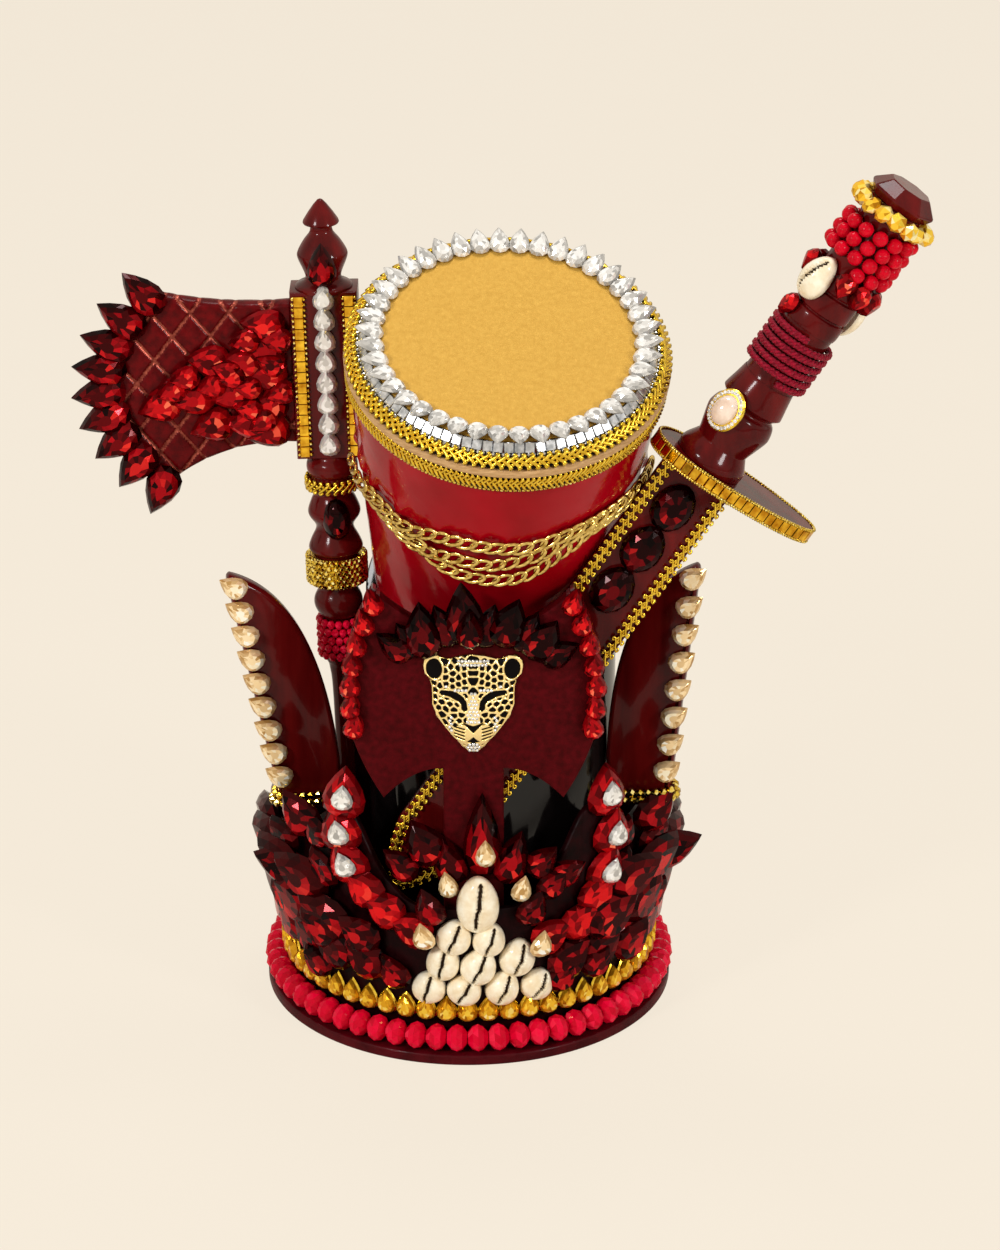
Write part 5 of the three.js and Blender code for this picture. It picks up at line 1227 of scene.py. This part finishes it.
sleeve = turned(rounded([(10.6, 10.8), (12, 10.6), (13.4, 13), (13.8, 18), (13.4, 22.5), (12, 24.6), (10.6, 24.4)], 4),
                72, ring=True)
band_rows = [bead_row(30, 13.4, 12.3 + row * 2.2, (2.9, 2.9, 2.6), 0.5 * (row % 2)) for row in range(6)]
band_rows += [bead_row(44, 12.6, height, (1.8, 1.8, 1.8)) for height in (11.1, 24.1)]
shells = [(*sleeve, gilt)] + [(*row, gilt_facets) for row in band_rows]
piece("axe_beaded_band", on_axe(shells), "axe_gold_band")

core = turned([(7.5, -27.5), (8.6, -26.8), (8.6, -8.8), (7.5, -8.2)], 40, ring=True)
coral_rows = [bead_row(16, 9.4, -25.5 + row * 4.1, (3.8, 3.8, 3.8), 0.5 * (row % 2), UP) for row in range(5)]
shells = [(*core, satin_maroon)] + [(*row, coral) for row in coral_rows]
piece("axe_coral_beads", on_axe(shells), "axe_bead_wrap")

# %% [markdown]
# The axe's blade is quilted: two families of slanting grooves make the diamonds. The face is a
# grid between the lower and the upper edge, bowed out to the cutting edge by a cubic, and each
# point's thickness falls to nothing in a small round-over at the border. A cushion blown up by a
# simulation would puff in the same way, but its seams could not be placed so exactly.
# %% Axe blade: its outline
BLADE_MIDDLE, BLADE_HALF = 115.5, 34.5
BLADE_ROOT = -15.8
horns = np.array([(-77.5, BLADE_MIDDLE - 55), (-80.5, BLADE_MIDDLE + 41.5)])
bow = (-127.5, BLADE_MIDDLE - 6.7)
u, v = np.meshgrid(np.linspace(0, 1, 150), np.linspace(0, 1, 130), indexing="ij")
upper = parabola((BLADE_ROOT, BLADE_MIDDLE + BLADE_HALF), (-52, BLADE_MIDDLE + BLADE_HALF - 2), horns[1], u)
lower = parabola((BLADE_ROOT, BLADE_MIDDLE - BLADE_HALF), (-52, BLADE_MIDDLE - BLADE_HALF + 2), horns[0], u)
bulge = parabola(horns[0], bow, horns[1], v)
low_share, high_share = 1 - v[..., None], v[..., None]
straight = horns[0] * low_share + horns[1] * high_share
flat = lower * low_share + upper * high_share + (bulge - straight) * u[..., None] ** 3
border = np.minimum.reduce([v * 69, (1 - v) * 69, (1 - u) * 80, u * 60 + 2]) / 2.4
round_over = np.sqrt(np.clip(1 - (1 - np.clip(border, 0, 1)) ** 2, 0, 1))
print("the blade is", round(float(np.ptp(flat[..., 1])), 1), "mm from horn to horn")

# %% [markdown]
# The grooves are bell curves across two sets of lines, and the satin puffs up between them. The
# faces along a line of stitches take a coppery colour, a painted highlight along the grooves, and
# the rest a red one.
# %% Axe blade: quilting
DIAMOND_WIDE, DIAMOND_TALL, LINE_SPACING = 17.6, 22.4, 13.8
PUFF, GROOVE, BLADE_DEPTH = 0.5, 1.1, 4.3


def quilting(x, z):
    """Depth of the grooves, bell curves across the lines x / wide + z / tall and x / wide - z / tall,
    and the distance to the nearest line."""
    first, second = x / DIAMOND_WIDE + z / DIAMOND_TALL, x / DIAMOND_WIDE - z / DIAMOND_TALL
    near = [np.abs(f - np.round(f)) * LINE_SPACING for f in (first, second)]
    return np.maximum(*[np.exp(-((d / 0.75) ** 2)) for d in near]), np.minimum(*near)


groove, to_groove = quilting(flat[..., 0], flat[..., 1])
puff = PUFF * smooth_step(to_groove / 5)
front = 0.15 + (BLADE_DEPTH + puff - GROOVE * groove * (u < 0.97)) * round_over
blade_front = points_of(flat[..., 0], -front, flat[..., 1])
border_front = np.concatenate([blade_front[0], blade_front[1:, -1], blade_front[-1, -2::-1], blade_front[-2:0:-1, 0]])
border_band = grid(np.stack([border_front, border_front * (1, -1, 1)]), wrap_columns=True)
stitched = np.exp(-(((to_groove - 0.2) / 0.6) ** 2))
points, (face_quads,) = grid(blade_front)
on_line = stitched.reshape(-1)[face_quads].mean(-1) > 0.45
# A painted highlight: a coppery colour on the faces along the stitch lines.
stitch_line_light = finish("stitch_highlight", (0.12, 0.014, 0.01), (0.36, 0.08, 0.05), 2, (0.25, 0.4), metal=0.5, gloss=0.1)
quilt = finish("quilted_satin", (0.06, 0.0008, 0.0015), (0.14, 0.0016, 0.003), 4, (0.26, 0.42), coat=0.05, bump=0.05,
               bump_grain=0.8, detail=5, gloss=0.06)
shells = [(points, [face_quads[~on_line]], quilt), (points, [face_quads[on_line]], stitch_line_light),
          (*grid(blade_front * (1, -1, 1)), quilt), (*border_band, quilt)]
piece("quilted_blade", on_axe(shells), "axe_blade", smooth=True)

# %% [markdown]
# Nine garnets point outwards along the cutting edge, turned step by step with it. The rubies on
# the face are scattered from the block outwards, in two layers like scales. Scattered by chance
# they would leave gaps, so each has its place in a list.
# %% Axe blade: edge garnets and face rubies
share = np.arange(9) / 8
edge_spot = parabola(horns[1], bow, horns[0], share)
edge_garnets = seated(pear, (16.5, 26, 7), front_places(edge_spot[:, 0] - 2.4, 4.8, edge_spot[:, 1]), FRONT,
                      -40 - 115 * share)
piece("axe_edge_garnets", on_axe([(*edge_garnets, garnet)]), "axe_edge_gems")

FACE_REACH, FIRST_LAYER = 103, 12
# x and height as shares of the face's reach and half height, and roll; the second layer comes last
face_stones = np.array([(-.53, .22, -80), (-.38, .19, -85), (-.28, .38, -70), (-.28, .7, -80), (-.76, -.4, -108),
                        (-.61, -.31, -104), (-.44, -.25, -104), (-.28, 0, -92), (-.53, -.7, -110), (-.37, -.66, -92),
                        (-.28, -.42, -105), (-.28, -.8, -108),
                        (-.36, .52, -100), (-.25, .2, -60), (-.36, -.42, -75), (-.3, -.62, -120), (-.64, .02, -95),
                        (-.43, .02, -88), (-.52, -.1, -100), (-.36, -.12, -80), (-.22, .52, -85), (-.22, -.22, -100),
                        (-.45, .12, -70), (-.7, -.16, -108)])
second = np.arange(len(face_stones)) >= FIRST_LAYER
size = np.where(second[:, None], (12, 16, 6), (17, 21.5, 6))
place = front_places(face_stones[:, 0] * FACE_REACH, 4.8 + 3 * second, BLADE_MIDDLE + face_stones[:, 1] * BLADE_HALF)
rubies = seated(pear, size, place, FRONT, face_stones[:, 2])
piece("axe_face_rubies", on_axe([(*rubies, ruby)]), "axe_face_gems")

# %% [markdown]
# The sword is stuck into the crown at a slant, so it is built upright, from the guard plate
# towards the pommel, and turned by 34 degrees. Its blade is a flat lacquered board with a point,
# and a looped gold braid runs round its edge.
# %% Sword blade
SWORD, GUARD = turn("y", 34), np.array([107, -62.3, 287.0])
SWORD_HALF, SWORD_LENGTH, POINT_START = 17.5, 256, -222


def on_sword(shells):
    """Shells moved to the guard's place and slanted with the sword."""
    return moved(shells, SWORD, GUARD)


point = curve((SWORD_HALF, POINT_START), (SWORD_HALF * 0.7, -244.7), (0, -SWORD_LENGTH), 16)
side_line = np.concatenate([[(SWORD_HALF, -3.6)], [(SWORD_HALF, -60)], [(SWORD_HALF, -150)], point])
blade_outline = np.concatenate([side_line, [(0, -SWORD_LENGTH)], side_line[::-1] * (-1, 1)])
blade = plate(blade_outline, 3, -3, 1.5)
crease(piece("blade_board", on_sword([(*blade, brown_lacquer)]), "sword_blade"))

# %% [markdown]
# The braid's route is a line, resampled to points that are evenly spaced, so that a share of the
# way is simply a row of an array. Three large oval garnets lie on the blade, and a small one low
# down.
# %% Sword braid and garnets
ROUTE_POINTS = 1600
INNER = 15.0


def blade_edge_route(t):
    """The braid runs down one side of the blade, round its point and up the other side."""
    point = curve((INNER, POINT_START - 0.5), (INNER * 0.75, -240), (0, -250.5), 16)
    half_line = np.concatenate([[(INNER, -5)], [(INNER, POINT_START)], point])
    path = resampled(np.concatenate([half_line, [(0, -250.5)], half_line[::-1] * (-1, 1)]), ROUTE_POINTS)
    ahead = unit(np.gradient(path, axis=0))
    i = np.clip((t * (ROUTE_POINTS - 1)).astype(int), 0, ROUTE_POINTS - 1)
    at = points_of(path[i, 0], -3.35, path[i, 1])
    return at, points_of(-ahead[i, 1], 0, ahead[i, 0]), np.broadcast_to([0.0, -1.0, 0.0], at.shape)


braid = gimp(blade_edge_route, 6.6, 60, 0.95, curl=0.22, closed=False, steps=18)
middle_line = blade_edge_route(np.linspace(0, 1, 500))[0] - (0, 0.7, 0)
middle_cord = (*tube(middle_line, 0.55, (0, 1, 0), 6), gilt)
piece("blade_gimp", on_sword([*braid, middle_cord]), "sword_braid", smooth=True)

blade_stones = seated(oval, (19, 25, 5.5), front_places(-1.5, 3.4, [-22.5, -46.5, -70.5]), FRONT)
low_stone = seated(oval, (14, 19, 5), front_places(0, 3.4, [-196]), FRONT)
piece("sword_garnets", on_sword([(*blade_stones, deep_garnet), (*low_stone, deep_garnet)]), "sword_blade_gems")

# %% [markdown]
# The guard is a long half ellipse of wood. Its edge is taped with amber mirror tiles between two
# lines of small beads; the tiles are spaced evenly by the length of the outline. A cylinder could
# be stretched to it, but its two halves reach out by different amounts.
# %% Guard and its tape
GUARD_POINTS, TILES, TAPE_BEADS = 180, 48, 150


def guard_outline(extra):
    """Half an ellipse towards the front reach and a shorter half on the other side."""
    t = np.radians(np.linspace(-90, 270, GUARD_POINTS + 1)[:-1])
    reach = np.where(np.cos(t) > 0, 58, 26) + extra
    return np.column_stack([reach * np.cos(t), (18 + extra) * np.sin(t)])


def guard_ring(extra, count):
    """The closed outline, a little outside the guard, cut into as many equal steps as count says."""
    outline = guard_outline(extra)
    return resampled(np.concatenate([outline, outline[:1]]), count + 1)


levels = [(1.4, -3.25), (0.3, -3.0), (0, -2.4), (0, 2.4), (0.3, 3.0), (1.4, 3.25)]
rings = [points_of(*guard_outline(-inset).T, height) for inset, height in levels]
guard = grid(np.stack(rings), wrap_columns=True, caps=True)
piece("guard_plate", on_sword([(*guard, brown_lacquer)]), "sword_guard")

line = guard_ring(0.3, TILES)
steps = np.diff(line, axis=0)
tile_wide = np.linalg.norm(steps, axis=1) - 0.35
tile_out = points_of(unit(steps)[:, 1], -unit(steps)[:, 0], 0)
tiles = seated(square, points_of(tile_wide, 5.0, 0.9), points_of(*((line[:-1] + line[1:]) / 2).T, 0), tile_out)
shells = [(*tiles, amber_mirror)]
for height in (-3.1, 3.1):
    bead_line = points_of(*guard_ring(0.6, TAPE_BEADS)[:-1].T, height)
    shells.append((*seated(seed_bead, (1.5, 1.5, 1.5), bead_line, UP), gilt_facets))
piece("guard_tiles", on_sword(shells), "sword_guard_tape")

# %% [markdown]
# The grip is turned in one piece with coves, a swollen foot and fine grooves, and ends in an
# eight-sided pommel with sharp edges. A round and an eight-sided form want different meshes, so
# the grip is turned and the pommel is stacked from rings with cut corners.
# %% Grip and pommel
GRIP_RADIUS, GRIP_LOW, GRIP_SPAN = 16.5, 3.55, 143.45
# Shares of the grip's radius and of its length; the second list has corners that stay sharp
grip_shares = [(1, 0), (1.01, .018), (.97, .035), (.8, .068), (.78, .078), (.86, .11), (.96, .15), (.97, .17),
               (.9, .198), (.78, .212), (.77, .22), (.9, .235), (.92, .243), (.85, .285), (.79, .325), (.76, .345),
               (.76, .53), (.79, .54), (.81, .553), (.81, .585), (.79, .594)]
grooved = [(.735, .598), (.735, .602), (.8, .607), (.81, .62), (.81, .66), (.8, .667), (.735, .672), (.735, .676),
           (.79, .682), (.8, .69), (.785, .73), (.735, .737), (.735, .741), (.77, .748), (.76, .8), (.75, .9),
           (.77, .93), (.81, .945), (.81, .99), (.79, 1)]
profile = np.array([*rounded(grip_shares, 4), *grooved]) * (GRIP_RADIUS, GRIP_SPAN) + (0, GRIP_LOW)
grip = turned([(0, GRIP_LOW), *profile, (0, GRIP_LOW + GRIP_SPAN)], 96)
crease(piece("turned_grip", on_sword([(*grip, brown_lacquer)]), "sword_grip"), 35)

pommel_levels = [(.84, 147.3), (.87, 147.6), (.99, 150.6), (1.0, 151.2), (.985, 151.9), (.66, 156.8), (.62, 157.3)]
a = (np.arange(8) + 0.5) * np.pi / 4
corner = np.stack([np.sin(a), -np.cos(a)], -1)
# Each corner is two points, close beside it on the sides that meet there
cut_corners = np.stack([corner * 0.94 + np.roll(corner, step, 0) * 0.06 for step in (1, -1)], 1).reshape(-1, 2)
rings = np.stack([points_of(*(cut_corners * share * GRIP_RADIUS).T, height) for share, height in pommel_levels])
piece("grip_pommel", on_sword([(*grid(rings, wrap_columns=True, caps=True), brown_lacquer)]), "sword_pommel")

# %% [markdown]
# The rope on the grip is three satin strands laid round each other. A helix gives the middle of
# the rope; each strand circles it, so the strand's own phase is added to the lay of the rope.
# Slanting lines in a material would be cheaper, but the rope's edge is seen against the grip, so
# its strands are real.
# %% Rope
def helix(turns, pitch, radius, start, steps):
    """Places on a helix, with the way outwards and the turns so far."""
    t = np.linspace(0, turns, int(turns * steps) + 1)
    out = around(360 * t)
    return out * radius + UP * (start + pitch * t)[:, None], out, t


centre, out, t = helix(6, 4, 14.87, 53.9, 72)
rope_shells = []
for strand in range(3):
    lay = 2 * np.pi * (t * 14 + strand / 3)
    path = centre + 0.95 * (out * np.cos(lay)[:, None] + UP * np.sin(lay)[:, None])
    rope_shells.append((*tube(path, 0.87, out, 8), cord_satin))
piece("sword_rope", on_sword(rope_shells), "sword_rope_wrap", smooth=True)

# %% [markdown]
# Berry-red beads are strung on a thread and wound round the grip in the same way. Below the
# pommel lies a ring of amber chips: rough stones, so their sizes, places and turns are random.
# %% Bead string and amber chips
PITCH, STRING_TURNS, STRING_START = 6.5, 3.3, 114.6
round_bead = bead(10, [(0.2, -0.49, 0), (0.6, -0.4, 0.5), (0.9, -0.22, 0), (1, 0, 0.5), (0.9, 0.22, 0),
                       (0.6, 0.4, 0.5), (0.2, 0.49, 0)])
places, out, t = helix(STRING_TURNS, PITCH, 15.4, STRING_START, 13)
berries = seated(round_bead, (7.1, 7.1, 7.1), places, out + UP * 0.4)
string = tube(helix(STRING_TURNS, PITCH, 14.6, STRING_START, 60)[0], 0.7, UP, 6)
piece("sword_coral_beads", on_sword([(*berries, berry_red), (*string, black_velvet)]), "sword_bead_wrap",
      smooth=True)

CHIPS = 15
chip = bead(6, [(0.5, -0.5, 0), (1, -0.15, 0.5), (0.9, 0.25, 0), (0.4, 0.5, 0.5)])
rng = np.random.default_rng(9)
turns = even_turns(CHIPS)
chip_out = unit(around(turns) + rng.normal(0, 0.25, (CHIPS, 3)))
chip_size = np.column_stack([rng.uniform(7.5, 10, CHIPS), rng.uniform(7.5, 10, CHIPS), rng.uniform(5.5, 7.5, CHIPS)])
chip_place = around(turns, 16.9, 143.4) + rng.normal(0, 0.5, (CHIPS, 3))
chips = seated(chip, chip_size, chip_place, chip_out, rng.uniform(0, 90, CHIPS))
piece("sword_amber_chips", on_sword([(*chips, amber)]), "sword_amber_ring")

# %% [markdown]
# Ruby drops hang under the beads, and two cowries are glued to the grip. The same unit stones and
# shells serve, the drops turned to point down.
# %% Drops and shells on the grip
turns = np.array([-92, -6, 26, 58, 98, 140, 180, 222.0])
drops = seated(pear, (10, 13.5, 6), around(turns, 13.8, [106, 108, 107, 106, 105, 105, 105, 105]),
               around(turns) + (0, 0, -0.25), 180)
extra = seated(pear, (9, 13, 5), around([-72], 13.4, 85), around([-72]), 200)
piece("grip_drops", on_sword([(*drops, ruby), (*extra, ruby)]), "sword_ruby_drops")

shell_turns = np.array([-56, 118.0])
shells = shells_at((15.4, 22.6, 8.4), around(shell_turns, 13.5, [103, 93]), around(shell_turns), [8, -10])
piece("sword_cowries", on_sword(shells), "sword_cowrie", smooth=True)

# %% [markdown]
# A pearl in a gold setting is clipped to the grip. The pearl is half an ellipsoid over the same
# squeezed grid as the cowries, and its rim is a ring of tiny clear beads.
# %% Pearl brooch
CLIP_TURN, CLIP_ROLL = -38, 5
clip_out = around([CLIP_TURN])
clip_place = around([CLIP_TURN], 17.1, 31.5)
setting_ring = bead(40, [(0.86, 0, 0), (1, 0.25, 0), (1, 0.6, 0), (0.93, 1, 0), (0.7, 1.1, 0), (0.62, 0.9, 0)])
setting = seated(setting_ring, (17, 21, 1.9), clip_place, clip_out, CLIP_ROLL)
px, py = disc(20)
dome, dome_faces = grid(points_of(px / 2, py / 2, np.sqrt(np.clip(1 - px * px - py * py, 0, 1))))
base, base_faces = grid(points_of(px / 2, py / 2, 0))
pearl_shape = (np.concatenate([dome, base]), [dome_faces[0], base_faces[0] + len(dome)])
pearl = seated(pearl_shape, (11.4, 15.2, 6.2), clip_place + clip_out * 1.4, clip_out, CLIP_ROLL)
a = np.radians(even_turns(28))
c, s = np.cos(np.radians(CLIP_ROLL)), np.sin(np.radians(CLIP_ROLL))
x, y = 7.0 * np.sin(a), 8.9 * np.cos(a)
side_way = np.cross(UP, clip_out[0])
rim_places = clip_place + (x * c + y * s)[:, None] * side_way + (-x * s + y * c)[:, None] * UP + clip_out * 1.9
rim_beads = seated(seed_bead, (1.9, 1.9, 1.7), rim_places, clip_out)
piece("pearl_clip", on_sword([(*setting, gilt), (*pearl, pearl_skin), (*rim_beads, clear)]), "sword_pearl_brooch")

# %% [markdown]
# The background is as pale as the photograph's paper, but it must not light the crown as strongly
# as it looks. So the world is pale only to rays that come from the camera, a mirror or glass, and
# dim to all others.
# %% Background
PAPER = (0.925, 0.835, 0.705, 1)


def math_of(tree, operation, first, second):
    """One sum on two values; the second may be a plain number."""
    made = node(tree, "Math")
    made.operation = operation
    tree.links.new(first, made.inputs[0])
    if isinstance(second, float):
        made.inputs[1].default_value = second
    else:
        tree.links.new(second, made.inputs[1])
    return made.outputs[0]


def mix_of(tree, share, first, second):
    """The first shader where the share is 0, the second where it is 1."""
    made = node(tree, "MixShader")
    for socket, source in zip(made.inputs, (share, first, second)):
        tree.links.new(source, socket)
    return made.outputs[0]


def paper_background():
    """World: pale for camera, mirror and glass rays, a dim neutral light for the rest."""
    world = bpy.data.worlds.new("world")
    bpy.context.scene.world = world
    world.use_nodes = True
    tree = world.node_tree
    tree.nodes.clear()
    rays = node(tree, "LightPath").outputs
    mirrored = math_of(tree, "MAXIMUM", rays["Is Glossy Ray"], rays["Is Transmission Ray"])
    seen = math_of(tree, "MAXIMUM", rays["Is Camera Ray"], mirrored)
    dim = node(tree, "Background", Color=(1, 0.98, 0.95, 1), Strength=0.3)
    pale = node(tree, "Background", Color=PAPER, Strength=1)
    mixed = mix_of(tree, seen, dim.outputs[0], pale.outputs[0])
    tree.links.new(mixed, node(tree, "OutputWorld").inputs["Surface"])


paper_background()
print("paper colour:", PAPER[:3])

# %% [markdown]
# The floor is matt paper of the same colour. The camera sees mostly the colour itself, and the
# small share that is really lit keeps the crown's shadow.
# %% Floor
def paper_floor(reach=6.0, own_colour=0.92):
    """A wide floor whose shader mixes lit paper and plain colour: camera ray times the colour's share."""
    mesh = bpy.data.meshes.new("floor")
    corners = [(-reach, -reach, 0), (reach, -reach, 0), (reach, reach, 0), (-reach, reach, 0)]
    mesh.from_pydata(corners, [], [(0, 1, 2, 3)])
    floor = bpy.data.objects.new("floor", mesh)
    floor.location.z = -0.0002
    bpy.context.scene.collection.objects.link(floor)
    material, tree, shader = blank_finish("paper", Roughness=0.9, Specular_IOR_Level=0.1)
    colour = ramp_of(tree, noise_of(tree, 60), [(0.3, (0.9, 0.81, 0.68)), (0.7, PAPER[:3])])
    tree.links.new(colour, shader.inputs["Base Color"])
    glow = node(tree, "Emission", Color=PAPER, Strength=1)
    share = math_of(tree, "MULTIPLY", node(tree, "LightPath").outputs["Is Camera Ray"], own_colour)
    mixed = mix_of(tree, share, shader.outputs[0], glow.outputs[0])
    tree.links.new(mixed, tree.nodes["Material Output"].inputs["Surface"])
    mesh.materials.append(material)


paper_floor()

# %% [markdown]
# Two round lamps stand at the sides and one above. A lamp shines along its own -z, so it is turned
# by two angles, worked out from the way to the point that it aims at. Small lamps would give hard
# sparks and black shadows, so these are wide.
# %% Lamps
def lamp(name, place, size, power, aim=(0, 0, 0.2)):
    """A round area lamp; its tilt is the angle from upright and its turn the angle round z."""
    light = bpy.data.lights.new(name, "AREA")
    light.shape, light.size, light.energy = "DISK", size, power
    made = bpy.data.objects.new(name, light)
    made.location = place
    direction = np.array(place) - np.array(aim)
    tilt, bearing = np.arctan2(np.hypot(*direction[:2]), direction[2]), np.arctan2(direction[0], -direction[1])
    made.rotation_euler = (tilt, 0, bearing)
    bpy.context.scene.collection.objects.link(made)


lamp("lamp_left", (-1.3, -1.5, 1.35), 0.42, 25)
lamp("lamp_right", (1.5, -1.4, 1.1), 0.42, 18)
lamp("lamp_top", (0.1, 0.4, 2.0), 0.6, 13)
bpy.context.scene.view_settings.view_transform = "Standard"
print("lamps:", len(bpy.data.lights))
